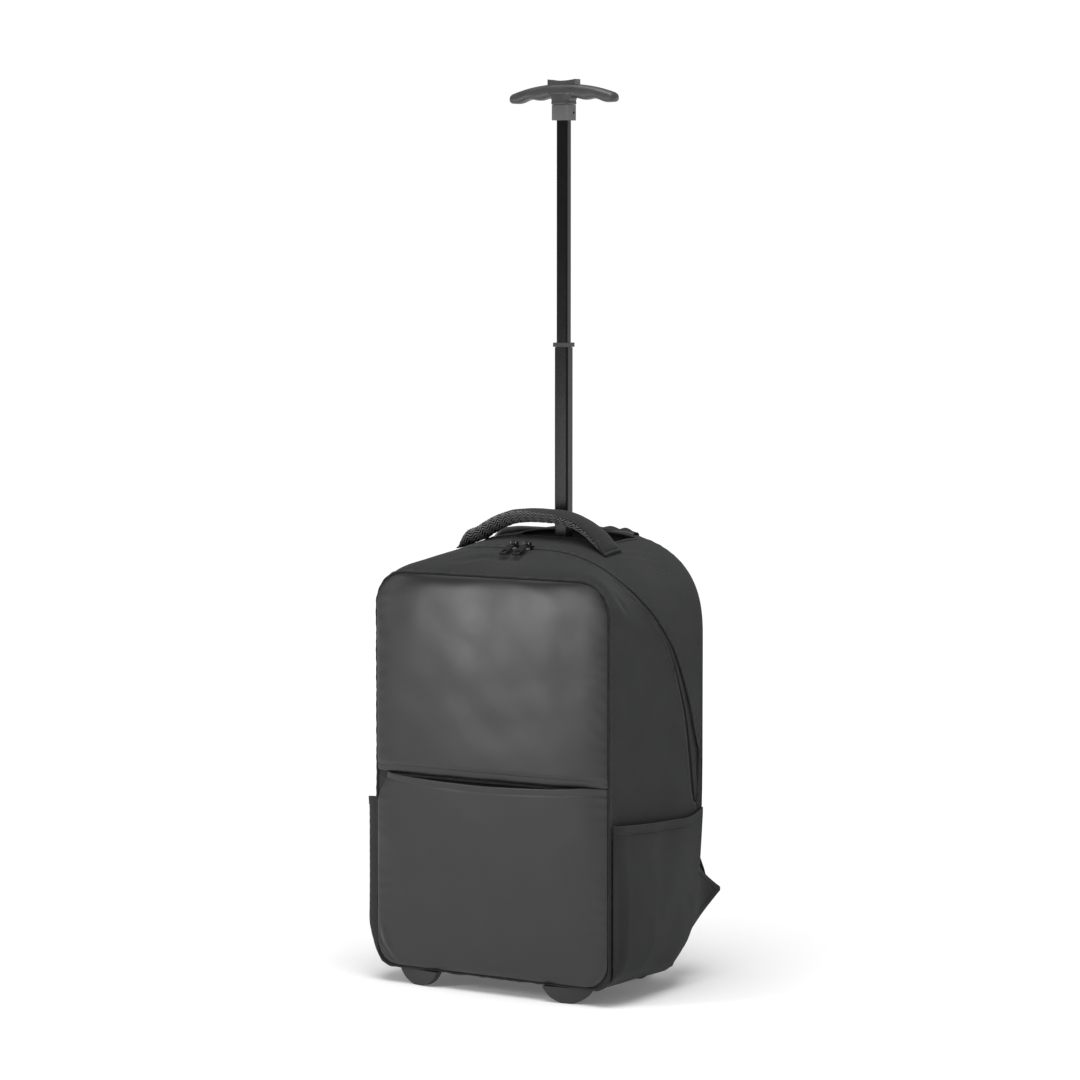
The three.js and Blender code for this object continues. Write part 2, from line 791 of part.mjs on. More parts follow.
// Share of the padded front's full height over its edge, at a share across and a height z
function panelSwell(across, z) {
  const side = 1 - Math.abs(across) ** 5;
  const up = limit((panelHigh - z) / PANEL_TOP_SWELL);
  const down = limit((z - panelLow) / PANEL_FOOT_SWELL);
  const round = (t) => Math.sqrt(1 - (1 - t) * (1 - t));
  return Math.sqrt(side) * round(up) * round(down);
}

const PANEL_ACROSS = [-1, -0.985, -0.94, -0.8, -0.45, 0, 0.45, 0.8, 0.94, 0.985, 1];
const panelDepth = (share) => mix(GAP + PANEL_EDGE, PANEL_BULGE, share);

function upperPanel() {
  const shares = [0, 0.014, 0.277, 0.645, 0.843, 0.908, 0.959, 0.9885, 1];
  const heights = shares.map((t) => mix(SLIT_HEIGHT, panelHigh, t));
  const skin = (depthAt) =>
    heights.map((z) =>
      PANEL_ACROSS.map(
        (a) => new THREE.Vector3(a * panelOutline(z), RIM_Y - depthAt(a, z), z),
      ),
    );
  // The edge over the slit is folded under, so the panel is thinner there
  const hem = (z) => Math.min(1, 0.45 + (z - SLIT_HEIGHT) / (2 * PANEL_BULGE));
  return sheet(
    skin((a, z) => panelDepth(panelSwell(a, z) * hem(z))),
    skin(() => GAP),
  );
}

// The pocket's lip gapes under the upper panel, most a little left of the middle
const lipDrop = (across) => SLIT_GAPE * Math.max(0, 1 - ((across + 0.1) / 0.9) ** 2) + SLIT_SHUT;

// The front pocket's wall: padded cloth that stands off the body, open behind its lip
function lowerPanel() {
  const shares = [0, 0.012, 0.05, 0.13, 0.35, 0.65, 0.93, 1];
  const rows = (less) =>
    shares.map((t) =>
      PANEL_ACROSS.map((a) => {
        const z = mix(panelLow, SLIT_HEIGHT - lipDrop(a), t);
        const y = RIM_Y - panelDepth(panelSwell(a, z)) + less;
        return new THREE.Vector3(a * panelOutline(z), y, z);
      }),
    );
  return sheet(rows(0), rows(LIP_CLOTH));
}

// The short zip that shows in the slit
function slitZip() {
  const half = HALF - PANEL_INSET - SLIT_TAPE_INSET;
  return box(
    -half,
    half,
    RIM_Y - GAP - SLIT_TAPE_THICK,
    RIM_Y - GAP,
    SLIT_HEIGHT - SLIT_GAPE - SLIT_TAPE_BELOW,
    SLIT_HEIGHT - GAP,
  );
}

// The welt's section, in shares of its width inwards and of its height forwards
const WELT_FORM = [
  { inward: 0, ahead: 0 },
  { inward: -0.09, ahead: 0.6 },
  { inward: 0.15, ahead: 1 },
  { inward: 0.6, ahead: 0.9 },
  { inward: 1, ahead: 0.3 },
  { inward: 1, ahead: 0 },
];
function frontWelt() {
  const rows = [...WELT_FORM, WELT_FORM[0]].map((c) =>
    ZIP_AT.map((_, i) =>
      bodyPoint(i, 0, c.inward * WELT_WIDTH).setY(RIM_Y - GAP - c.ahead * WELT_HEIGHT),
    ),
  );
  const out = [];
  grid(out, rows, true, false);
  return facingOut(solid(out));
}

// Side pockets: a cloth wall that lies on the side round its edge and stands off it between
function sidePocket(side) {
  const columns = [0, 0.03, 0.09, 0.3, 0.6, 0.9, 0.97, 1];
  const rows = [0, 0.04, 0.12, 0.25, 0.4, 0.7, 0.95, 1];
  const topAt = (c) =>
    POCKET_TOP +
    POCKET_FRONT_RISE * (1 - c) ** 1.5 +
    POCKET_BACK_RISE * Math.max(0, (c - 0.75) / 0.25) ** 2;
  const point = (c, r, more) => {
    const z = mix(POCKET_FOOT, topAt(c), r);
    const end = Math.min(
      backContour(z - BOTTOM_CORNER) - POCKET_SEAM,
      BODY_DEPTH - BACK_ROUND,
    );
    const across = c < 0.09 ? (c / 0.09) ** 0.3 : limit((1 - c) / 0.6) ** 0.7;
    const proud = POCKET_PROUD * across * Math.sin((limit(r / 0.25) * Math.PI) / 2);
    const x = side * (HALF + GAP + Math.max(0, proud) + more);
    return new THREE.Vector3(x, yOf(mix(POCKET_SEAM, end, c)), z);
  };
  const skin = (more) => rows.map((r) => columns.map((c) => point(c, r, more)));
  return sheet(skin(POCKET_CLOTH), skin(0));
}

// Grab handle: a padded arch whose flat ends are sewn down
function grabHandle() {
  const steps = 22;
  const sides = 12;
  const foot = bodySurface(HANDLE_SPAN / 2, HANDLE_BACK) + GAP;
  const rings = Array.from({ length: steps + 1 }, (_, i) => {
    const t = (i / steps) * 2 - 1;
    const fromEnd = 1 - Math.abs(t);
    const x = (HANDLE_SPAN / 2) * t;
    const seat = bodySurface(x, HANDLE_BACK + (HANDLE_WIDE + HANDLE_END_WIDER) / 2) + GAP;
    const thick = mix(HANDLE_END_THICK, HANDLE_THICK, limit(fromEnd / 0.22) ** 0.6);
    const wide = HANDLE_WIDE + HANDLE_END_WIDER * (1 - limit(fromEnd / 0.3));
    const arch = mix(foot, BODY_TOP + HANDLE_RISE, read(HANDLE_LINE, "across", t, "rise"));
    const flat = seat + thick / 2;
    return { x, z: Math.max(mix(flat, arch, limit(fromEnd / 0.1)), flat), thick, wide };
  });
  return loft(
    rings.map((r, i) => {
      const before = rings[Math.max(0, i - 1)];
      const after = rings[Math.min(steps, i + 1)];
      const slope = i % steps ? Math.atan2(after.z - before.z, after.x - before.x) : 0;
      return Array.from({ length: sides }, (_, k) => {
        const a = (k / sides) * Math.PI * 2;
        const up = (Math.sin(a) * r.thick) / 2;
        const y = yOf(HANDLE_BACK) + (Math.cos(a) * r.wide) / 2;
        return new THREE.Vector3(r.x - up * Math.sin(slope), y, r.z + up * Math.cos(slope));
      });
    }),
  );
}

// Heights along the pole as it stands in the photograph, fully drawn out
const OUTER_TOP = stowFloor + POLE_STUB;
const LOWER_TOP = OUTER_TOP + LOWER_STAGE_OUT;
const LOWER_FOOT = OUTER_TOP - STAGE_OVERLAP;
const COLLAR_TOP = LOWER_TOP + COLLAR_HEIGHT;
const UPPER_FOOT = LOWER_TOP - STAGE_OVERLAP;
const SOCKET_LOW = COLLAR_TOP + UPPER_STAGE_OUT;
const SOCKET_TOP = SOCKET_LOW + SOCKET_HEIGHT;
const UPPER_TOP = SOCKET_TOP - TUBE_SHORT;

// An upright rectangular tube with rounded corners
function tube(size, low, high, corner) {
  const outline = (w, d, round) => {
    const shape = new THREE.Shape();
    shape.moveTo(w, -d + round);
    shape.lineTo(w, d - round);
    shape.absarc(w - round, d - round, round, 0, Math.PI / 2);
    shape.lineTo(-w + round, d);
    shape.absarc(-w + round, d - round, round, Math.PI / 2, Math.PI);
    shape.lineTo(-w, -d + round);
    shape.absarc(-w + round, -d + round, round, Math.PI, Math.PI * 1.5);
    shape.lineTo(w - round, -d);
    shape.absarc(w - round, -d + round, round, Math.PI * 1.5, Math.PI * 2);
    return shape;
  };
  const [w, d] = [size.wide / 2, size.deep / 2];
  const shape = outline(w, d, corner);
  shape.holes.push(outline(w - TUBE_WALL, d - TUBE_WALL, corner - TUBE_WALL / 2));
  return new THREE.ExtrudeGeometry(shape, {
    depth: high - low,
    bevelEnabled: false,
    curveSegments: 3,
  }).translate(0, 0, low);
}

// The clear way that the upper tube passes through
const upperTubeWay = (low, high) => {
  const [w, d] = [UPPER_TUBE.wide / 2 + GAP, UPPER_TUBE.deep / 2 + GAP];
  return box(-w, w, -d, d, low, high);
};

// The collar caps the middle tube, and the upper tube runs through it
function poleCollar() {
  const w = MIDDLE_TUBE.wide / 2 + COLLAR_LIP;
  const d = MIDDLE_TUBE.deep / 2 + COLLAR_LIP;
  return cut(
    box(-w, w, -d, d, LOWER_TOP + GAP, COLLAR_TOP),
    upperTubeWay(LOWER_TOP - PAST, COLLAR_TOP + PAST),
  );
}

// The socket holds the top of the upper tube; its pin sits in a shallow round hole
function socket() {
  const h = SOCKET_SIDE / 2;
  const pinHole = rod(SOCKET_PIN_RADIUS, h - SOCKET_PIN_DEPTH, h + PAST, 12);
  return cut(
    box(-h, h, -h, h, SOCKET_LOW, SOCKET_TOP),
    upperTubeWay(SOCKET_LOW - PAST, UPPER_TOP + GAP),
    pinHole.translate(0, SOCKET_PIN_BACK, SOCKET_LOW + SOCKET_HEIGHT / 2),
  );
}

// Grip: an arched bar with finger waves under it and a neck down to the socket
const GRIP_LOW = SOCKET_TOP + 1;
function gripTop(x) {
  const t = Math.abs(x) / (GRIP_WIDTH / 2);
  return GRIP_LOW + GRIP_HEIGHT - GRIP_DROOP * t ** 2.2;
}
function gripUnder(x) {
  const t = Math.abs(x) / (GRIP_WIDTH / 2);
  const arch = GRIP_ARCH * Math.sin((limit((1 - t) / 0.68) * Math.PI) / 2);
  const waves = FINGER_WAVE * Math.cos((t - 0.62) * Math.PI * 5.1);
  return GRIP_LOW + arch + waves * limit((1 - t) / 0.12);
}

// A ring between an oval and a rectangle: the lower the power, the squarer it is
function squareRing(sides, power, place) {
  return Array.from({ length: sides }, (_, k) => {
    const a = (k / sides) * Math.PI * 2;
    const shape = (v) => Math.sign(v) * Math.abs(v) ** power;
    return place(shape(Math.cos(a)), shape(Math.sin(a)));
  });
}

function gripBar() {
  const steps = 26;
  return loft(
    Array.from({ length: steps + 1 }, (_, i) => {
      const even = (i / steps) * 2 - 1;
      const t = mix(Math.sin((even * Math.PI) / 2), even, 0.6);
      const x = (t * GRIP_WIDTH) / 2;
      const round = Math.sqrt(Math.max(0.02, 1 - Math.max(0, (Math.abs(t) - 0.9) / 0.1) ** 2));
      const middle = (gripTop(x) + gripUnder(x)) / 2;
      const tall = (gripTop(x) - gripUnder(x)) * round;
      const thick = GRIP_THICK * round;
      return squareRing(
        12,
        0.75,
        (y, z) => new THREE.Vector3(x, (y * thick) / 2, middle + (z * tall) / 2),
      );
    }),
  );
}

const BUTTON_LOW = gripTop(0) - BUTTON_TALL;
function grip() {
  const half = SOCKET_SIDE / 2;
  const neck = loft(
    [
      { z: SOCKET_TOP + GAP, lip: NECK_LIP },
      { z: SOCKET_TOP + NECK_HEIGHT * 0.4, lip: NECK_LIP * 0.75 },
      { z: SOCKET_TOP + NECK_HEIGHT + GRIP_ARCH, lip: NECK_LIP + NECK_FLARE },
    ].map(({ z, lip }) =>
      squareRing(16, 0.4, (x, y) => new THREE.Vector3(x * (half + lip), y * half, z)),
    ),
  );
  const well = box(
    -BUTTON_WIDTH / 2 - BUTTON_PLAY,
    BUTTON_WIDTH / 2 + BUTTON_PLAY,
    -BUTTON_DEEP / 2 - BUTTON_PLAY,
    BUTTON_DEEP / 2 + BUTTON_PLAY,
    BUTTON_LOW - BUTTON_TRAVEL - BUTTON_PLAY,
    gripTop(0) + PAST,
  );
  return cut(join(gripBar(), neck), well);
}

// The release button stands proud of the grip, dished along its top
function button() {
  const steps = 8;
  const places = Array.from({ length: steps + 1 }, (_, i) => (i / steps) * 2 - 1);
  const top = places.map((t) => {
    const z = gripTop(0) + BUTTON_PROUD - BUTTON_DISH * (1 - t * t);
    return new THREE.Vector2((t * BUTTON_WIDTH) / 2, z);
  });
  const shape = new THREE.Shape([
    ...top,
    new THREE.Vector2(BUTTON_WIDTH / 2, BUTTON_LOW),
    new THREE.Vector2(-BUTTON_WIDTH / 2, BUTTON_LOW),
  ]);
  return new THREE.ExtrudeGeometry(shape, { depth: BUTTON_DEEP, bevelEnabled: false })
    .rotateX(Math.PI / 2)
    .translate(0, BUTTON_DEEP / 2, 0);
}

// Carriage with its wheel wells, hollow between them
function carriage() {
  const low = BODY_FLOOR + 2 * GAP;
  const profile = new THREE.Shape();
  profile.moveTo(yOf(CARRIAGE_FRONT), low);
  profile.absarc(axleY, WHEEL_RADIUS, EAR_RADIUS, -Math.PI * 0.62, 0);
  profile.lineTo(axleY + CARRIAGE_BACK, CARRIAGE_TOP - CARRIAGE_BEVEL);
  profile.lineTo(axleY + CARRIAGE_BACK - CARRIAGE_BEVEL / 4, CARRIAGE_TOP);
  profile.lineTo(yOf(CARRIAGE_FRONT), CARRIAGE_TOP);
  const block = new THREE.ExtrudeGeometry(profile, {
    depth: carriageHalf * 2,
    bevelEnabled: false,
    curveSegments: 6,
  })
    .rotateX(Math.PI / 2)
    .rotateZ(Math.PI / 2)
    .translate(-carriageHalf, 0, 0);
  const wells = [-1, 1].flatMap((side) => {
    const x = (side * WHEEL_TRACK) / 2;
    return [
      rod(WHEEL_RADIUS + WHEEL_CLEAR, x - wellHalf, x + wellHalf, 24),
      rod(AXLE_RADIUS + GAP, x - wellHalf - PAST, x + wellHalf + PAST, 12),
    ].map((hole) => hole.translate(0, axleY, WHEEL_RADIUS));
  });
  const inner = WHEEL_TRACK / 2 - wellHalf - EAR_THICK;
  const hollow = box(
    -inner,
    inner,
    yOf(CARRIAGE_FRONT) + CARRIAGE_WALL,
    axleY + PAST,
    -PAST,
    CARRIAGE_TOP - CARRIAGE_ROOF,
  );
  return cut(block, ...wells, hollow);
}

function axle(side) {
  const x = (side * WHEEL_TRACK) / 2;
  const half = wellHalf + EAR_THICK;
  return rod(AXLE_RADIUS, x - half, x + half, 12).translate(0, axleY, WHEEL_RADIUS);
}

// Wheel profiles are turned about the axle: radius against place across the wheel
function turned(profile, side) {
  const closed = [...profile, profile[0]].map(([r, a]) => new THREE.Vector2(r, a));
  return new THREE.LatheGeometry(closed, 24)
    .rotateZ(-Math.PI / 2)
    .translate((side * WHEEL_TRACK) / 2, axleY, WHEEL_RADIUS);
}

function tyre(side) {
  const w = WHEEL_WIDTH / 2;
  const inner = WHEEL_RADIUS - TYRE_THICK;
  const half = [
    { r: inner, a: w - 2 },
    { r: WHEEL_RADIUS - TREAD_DROP, a: w - 1 },
    { r: WHEEL_RADIUS, a: w - TYRE_SHOULDER },
  ];
  const left = half.map(({ r, a }) => [r, -a]);
  const right = half.map(({ r, a }) => [r, a]).reverse();
  return turned([...left, ...right], side);
}

function hub(side) {
  const w = WHEEL_WIDTH / 2;
  const rim = WHEEL_RADIUS - TYRE_THICK - GAP;
  const bore = AXLE_RADIUS + HUB_PLAY;
  const half = [
    { r: bore, a: w },
    { r: bore + HUB_BOSS, a: w },
    { r: bore + HUB_BOSS + 1, a: w - HUB_RECESS },
    { r: rim - HUB_RECESS, a: w - HUB_RECESS },
    { r: rim, a: w - HUB_RECESS / 2 },
  ];
  const left = half.map(({ r, a }) => [r, -a]);
  const right = half.map(({ r, a }) => [r, a]).reverse();
  return turned([...left, ...right], side);
}

// Half-round standing feet, turned a little outwards
function foot(side) {
  const start = Math.asin(FOOT_FLAT / 2 / FOOT_RADIUS);
  const lift = FOOT_RADIUS * Math.cos(start);
  const height = BODY_FLOOR - 3 * GAP;
  const end = Math.acos((lift - height) / FOOT_RADIUS);
  const shape = new THREE.Shape();
  shape.absarc(0, lift, FOOT_RADIUS, -Math.PI / 2 + start, -Math.PI / 2 + end);
  shape.absarc(0, lift, FOOT_RADIUS, -Math.PI / 2 - end, -Math.PI / 2 - start);
  return new THREE.ExtrudeGeometry(shape, {
    depth: FOOT_THICK,
    bevelEnabled: false,
    curveSegments: 8,
  })
    .rotateX(Math.PI / 2)
    .translate(0, FOOT_THICK / 2, 0)
    .rotateZ((side * FOOT_TOE_OUT * Math.PI) / 180)
    .translate(side * FOOT_SPREAD, yOf(FOOT_BACK), 0);
}

// Back pad, laid on the back of the back shell along its slope, with a groove down its middle
function backPad() {
  const slope = BACK_FORM.map((r) => ({
    z: BODY_FLOOR + (BODY_TOP - BODY_FLOOR) * r.rise,
    s: BODY_DEPTH * r.depth,
  })).filter((h) => h.z > CARRIAGE_TOP + PAD_ABOVE_CARRIAGE);
  const bend = slope[slope.length - 1].z;
  const top = BODY_TOP - PAD_BELOW_TOP;
  const upright = [0.25, 0.5, 0.75, 1].map((t) => ({ z: mix(bend, top, t), s: BODY_DEPTH }));
  const rows = [...slope, ...upright];
  const across = [-1, -0.93, -0.5, -0.12, 0, 0.12, 0.5, 0.93, 1];
  const half = (z) => PAD_WIDTH / 2 - PAD_NARROWING * limit((z - bend) / (top - bend)) ** 2;
  const puff = (a, i) => {
    if (i === 0 || i === rows.length - 1 || Math.abs(a) === 1) return PAD_EDGE;
    return a === 0 ? PAD_GROOVE : PAD_THICK;
  };
  const skin = (depth) =>
    rows.map((h, i) =>
      across.map((a) => new THREE.Vector3(a * half(h.z), yOf(h.s) + GAP + depth(a, i), h.z)),
    );
  return sheet(
    skin(puff),
    skin(() => 0),
  );
}

// A flat band along points given as a place out, a y and a height
function band(middles, width, thick, side) {
  return loft(
    middles.map((m, i) => {
      const before = middles[Math.max(0, i - 1)];
      const after = middles[Math.min(middles.length - 1, i + 1)];
      const dy = after.y - before.y;
      const dz = after.z - before.z;
      const length = Math.hypot(dy, dz);
      const w = width(i / (middles.length - 1)) / 2;
      const h = thick / 2;
      const corners = [
        [-w, -h * 0.5],
        [-w * 0.9, -h],
        [w * 0.9, -h],
        [w, -h * 0.5],
        [w, h * 0.5],
        [w * 0.9, h],
        [-w * 0.9, h],
        [-w, h * 0.5],
      ];
      return corners.map(([a, b]) => {
        const y = m.y - (b * dz) / length;
        const z = m.z + (b * dy) / length;
        return new THREE.Vector3(side * (m.out + a), y, z);
      });
    }),
  );
}

// The strap's middle line: from the back shell over the pad's top edge, then bowed off the pad
function strapPoint(t) {
  const at = (column) => read(STRAP_LINE, "along", t, column);
  const sewnY = yOf(BODY_DEPTH) + GAP + STRAP_THICK / 2;
  return {
    out: HALF * at("out"),
    y: sewnY + (PAD_THICK + GAP) * at("over") + STRAP_BOW * at("bow"),
    z: BODY_TOP * at("height"),
  };
}

function shoulderStrap(side) {
  const steps = 14;
  const middles = Array.from({ length: steps + 1 }, (_, i) => strapPoint(i / steps));
  const sewn = { ...middles[0], z: middles[0].z + STRAP_SEWN };
  const width = (t) => STRAP_WIDTH * (1 - 0.28 * t ** 3);
  return band([sewn, ...middles], width, STRAP_THICK, side);
}

// Where the buckle's top lies: just under the lowest corner of the strap's slanted end
function buckleTop() {
  const end = strapPoint(1);
  const near = strapPoint(0.95);
  const slant = Math.abs(near.y - end.y) / Math.hypot(near.y - end.y, near.z - end.z);
  return end.z - (STRAP_THICK / 2) * slant - GAP;
}

function strapBuckle(side) {
  const { out, y } = strapPoint(1);
  const top = buckleTop();
  const half = BUCKLE_THICK / 2;
  return box(
    -BUCKLE_WIDTH / 2,
    BUCKLE_WIDTH / 2,
    y - half,
    y + half,
    top - BUCKLE_HEIGHT,
    top,
  ).translate(side * out, 0, 0);
}

// The inner face of a wing at a share of its reach and a share of its height
const wingTipY = yOf(BODY_DEPTH) + WING_REACH;
function wingAt(t, v) {
  const foot = BODY_FLOOR + WING_FOOT;
  const low = mix(foot, foot + WING_TIP_RISE, t ** 0.8);
  const high = mix(foot + WING_ROOT, foot + WING_TIP_RISE + WING_TIP, t ** 0.9);
  const z = mix(low, high, v);
  const root = yOf(backSurface(HALF - WING_INSET, z)) + WING_OFF;
  const bow = WING_BOW * Math.sin(t * Math.PI * 0.8);
  return { out: HALF - WING_INSET + WING_LEAN * (1 - t) - bow, y: mix(root, wingTipY, t), z };
}

function wing(side) {
  const skin = (more) =>
    [0, 0.25, 0.5, 0.75, 1].map((t) =>
      [0, 0.5, 1].map((v) => {
        const p = wingAt(t, v);
        return new THREE.Vector3(side * (p.out + more), p.y, p.z);
      }),
    );
  return sheet(skin(WING_CLOTH), skin(0));
}

// Webbing from under the buckle to the inner face of the wing
function webbing(side) {
  const start = strapPoint(1);
  start.z = buckleTop() - BUCKLE_HEIGHT - GAP;
  const end = wingAt(0.8, 0.5);
  end.out -= WEBBING_WIDTH / 2 + GAP;
  const points = WEBBING_LINE.map((w) => ({
    out: mix(start.out, end.out, w.out),
    y: mix(start.y, end.y, w.back),
    z: mix(start.z, end.z, w.down),
  }));
  return band(points, () => WEBBING_WIDTH, WEBBING_THICK, side);
}

const MATERIALS = {
  cloth: { color: 0x36373a, roughness: 0.85, metalness: 0 },
  coated: { color: 0x3f4044, roughness: 0.38, metalness: 0 },
  mesh: { color: 0x1c1c1e, roughness: 0.95, metalness: 0 },
  tape: { color: 0x161617, roughness: 0.9, metalness: 0 },
  plastic: { color: 0x3a3b3d, roughness: 0.5, metalness: 0 },
  tube: { color: 0x1f2022, roughness: 0.4, metalness: 0.7 },
  metal: { color: 0x121213, roughness: 0.35, metalness: 0.9 },
  rubber: { color: 0x1a1a1b, roughness: 0.8, metalness: 0 },
};

const backpack = new THREE.Group();
function add(name, geometry, material, parent = backpack) {
  const mesh = new THREE.Mesh(geometry, new THREE.MeshStandardMaterial(MATERIALS[material]));
  mesh.name = name;
  parent.add(mesh);
}

add("body_front", frontShell(), "cloth");
add("body_back", backShell(), "cloth");
add("panel_upper", upperPanel(), "coated");
add("panel_lower", lowerPanel(), "coated");
add("slit_zip", slitZip(), "tape");
add("front_welt", frontWelt(), "cloth");
add("main_zip", zipTape(), "tape");
add("handle_pocket", handlePocket(), "tape");
add("handle_pocket_flap", pocketFlap(), "cloth");
add("grab_handle", grabHandle(), "mesh");
add("back_pad", backPad(), "mesh");
add("wheel_carriage", carriage(), "plastic");

for (const [name, side] of [
  ["left", -1],
  ["right", 1],
]) {
  add(`side_pocket_${name}`, sidePocket(side), "cloth");
  add(`zip_slider_${name}`, slider(PULL_CENTRE + side * PULL_OFFSET), "metal");
  add(`zip_pull_${name}`, pull(PULL_CENTRE + side * PULL_OFFSET), "metal");
  add(`shoulder_strap_${name}`, shoulderStrap(side), "cloth");
  add(`strap_buckle_${name}`, strapBuckle(side), "plastic");
  add(`strap_webbing_${name}`, webbing(side), "tape");
  add(`strap_wing_${name}`, wing(side), "cloth");
  add(`foot_${name}`, foot(side), "plastic");
  add(`wheel_tyre_${name}`, tyre(side), "rubber");
  add(`wheel_hub_${name}`, hub(side), "plastic");
  add(`axle_${name}`, axle(side), "metal");
}

// The pole's own group stands where the pole comes out of the handle pocket
const pole = new THREE.Group();
pole.position.set(0, yOf(POLE_BACK), 0);
backpack.add(pole);
const outerCorner = TUBE_CORNER + 2 * TUBE_CORNER_STEP;
const middleCorner = TUBE_CORNER + TUBE_CORNER_STEP;
add("pole_outer", tube(OUTER_TUBE, CARRIAGE_TOP + GAP, OUTER_TOP, outerCorner), "tube", pole);
add("pole_middle", tube(MIDDLE_TUBE, LOWER_FOOT, LOWER_TOP, middleCorner), "tube", pole);
add("pole_collar", poleCollar(), "plastic", pole);
add("pole_upper", tube(UPPER_TUBE, UPPER_FOOT, UPPER_TOP, TUBE_CORNER), "tube", pole);
add("grip_socket", socket(), "plastic", pole);
add("grip", grip(), "plastic", pole);
add("grip_button", button(), "plastic", pole);

export default backpack;
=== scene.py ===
"""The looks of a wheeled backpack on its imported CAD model. Lengths here are in millimetres."""

import math

import bmesh
import bpy
import numpy as np
from mathutils import Matrix, Vector


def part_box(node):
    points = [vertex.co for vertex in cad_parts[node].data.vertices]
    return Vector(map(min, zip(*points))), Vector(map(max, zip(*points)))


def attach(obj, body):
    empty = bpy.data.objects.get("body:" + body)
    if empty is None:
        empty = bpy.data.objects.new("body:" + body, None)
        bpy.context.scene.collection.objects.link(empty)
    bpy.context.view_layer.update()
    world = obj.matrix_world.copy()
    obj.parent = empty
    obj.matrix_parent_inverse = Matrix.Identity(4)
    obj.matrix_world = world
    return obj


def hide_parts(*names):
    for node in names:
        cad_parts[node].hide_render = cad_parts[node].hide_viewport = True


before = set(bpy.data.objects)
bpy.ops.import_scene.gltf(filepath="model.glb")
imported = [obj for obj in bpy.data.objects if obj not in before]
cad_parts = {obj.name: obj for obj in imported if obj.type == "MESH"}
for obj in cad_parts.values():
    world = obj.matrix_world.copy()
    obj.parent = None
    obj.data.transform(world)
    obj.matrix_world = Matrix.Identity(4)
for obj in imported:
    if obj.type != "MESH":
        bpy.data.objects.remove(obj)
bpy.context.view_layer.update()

MM = 0.001
HALF = 152.5
DEPTH = 196.0
TOP = 497.0
FLOOR = 18.0
BOTTOM_CORNER = 20.0
BACK_ROUND = 9.0
RIM_Y = -125.0
BACK_Y = RIM_Y + DEPTH
ZIP_LOW_END = 197.0
SLIT_HEIGHT = 236.0
PANEL_HIGH = 454.6
PANEL_LOW = 20.6
PANEL_HALF = 150.2
CARRIAGE_NOTCH = ((-100.3, 4.7, -5.0), (100.3, 90.0, 66.9))
STOW_HOLE = ((-77.4, -22.4, 440.0), (77.4, 50.4, 520.0))
STOW_FLOOR = 433.6
STOW_SIDE = 78.6
STOW_FRONT_Y = -23.6
STOW_REAR_Y = 51.6
HANDLE_HALF = 98
HANDLE_AT = 92
HANDLE_REAR = 16.5
PANEL_FACE = 148
POLE_Y = 18
GRIP_HALF = 69
GRIP_BASE = 967

# Each row: depth share, top share, corner width, corner height, corner power
TOP_FORM = [
    (0, 0.9205, 0.255, 0.255, 2),
    (0.06, 0.9415, 0.38, 0.32, 2),
    (0.25, 0.9744, 0.78, 0.53, 2.06),
    (0.5, 0.9905, 0.885, 0.645, 2.35),
    (0.765, 0.9985, 0.97, 0.73, 2.55),
    (1, 1, 0.985, 0.76, 2.65),
]
# Depth share and how far the underside has risen there
BACK_FORM = [
    (0, 0),
    (0.663, 0),
    (0.745, 0.0166),
    (0.806, 0.0362),
    (0.847, 0.0518),
    (0.878, 0.0704),
    (0.908, 0.124),
    (0.934, 0.201),
    (0.954, 0.273),
    (0.974, 0.366),
    (0.99, 0.449),
    (1, 0.522),
]
# Height share and the depth share at which the zip runs there
ZIP_FORM = [
    (0.04, 0.768),
    (0.121, 0.83),
    (0.242, 0.872),
    (0.396, 0.908),
    (0.479, 0.878),
    (0.592, 0.82),
    (0.662, 0.755),
    (0.755, 0.632),
    (0.812, 0.5),
    (0.873, 0.345),
    (0.921, 0.265),
    (0.975, 0.235),
    (1.02, 0.23),
]
HANDLE_LINE = [
    (-1, 0),
    (-0.7, 0.52),
    (-0.48, 0.8),
    (-0.29, 0.945),
    (-0.03, 1),
    (0.26, 0.985),
    (0.49, 0.88),
    (0.7, 0.64),
    (0.87, 0.32),
    (1, 0),
]
# Along, out, over the pad, bow, height
STRAP_LINE = [
    (0, 0.302, 0, 0, 0.889),
    (0.1, 0.328, 1, 0.28, 0.861),
    (0.3, 0.42, 1, 0.77, 0.761),
    (0.5, 0.511, 1, 1, 0.648),
    (0.7, 0.584, 1, 1, 0.539),
    (0.88, 0.636, 1, 0.77, 0.447),
    (1, 0.656, 1, 0.52, 0.394),
]

# Steps of half an outline, from the middle of the bottom to the middle of the top
HALF_STEPS = 22
RING = 2 * HALF_STEPS


def half_outline():
    """Places along half of the outline, closer together where cloth puckers."""
    parts = [(0, 3, 22), (3, 7, 14), (7, 12, 120), (12, 20, 84), (20, 22, 18)]
    return np.concatenate([np.linspace(a, b, n, endpoint=False) for a, b, n in parts])


HALF_RING = half_outline()
FULL_RING = np.concatenate((HALF_RING, [HALF_STEPS], RING - HALF_RING[:0:-1]))


def mix(a, b, t):
    return a + (b - a) * t


def limit(value):
    return np.clip(value, 0.0, 1.0)


def ease(value):
    t = limit(value)
    return t * t * (3 - 2 * t)


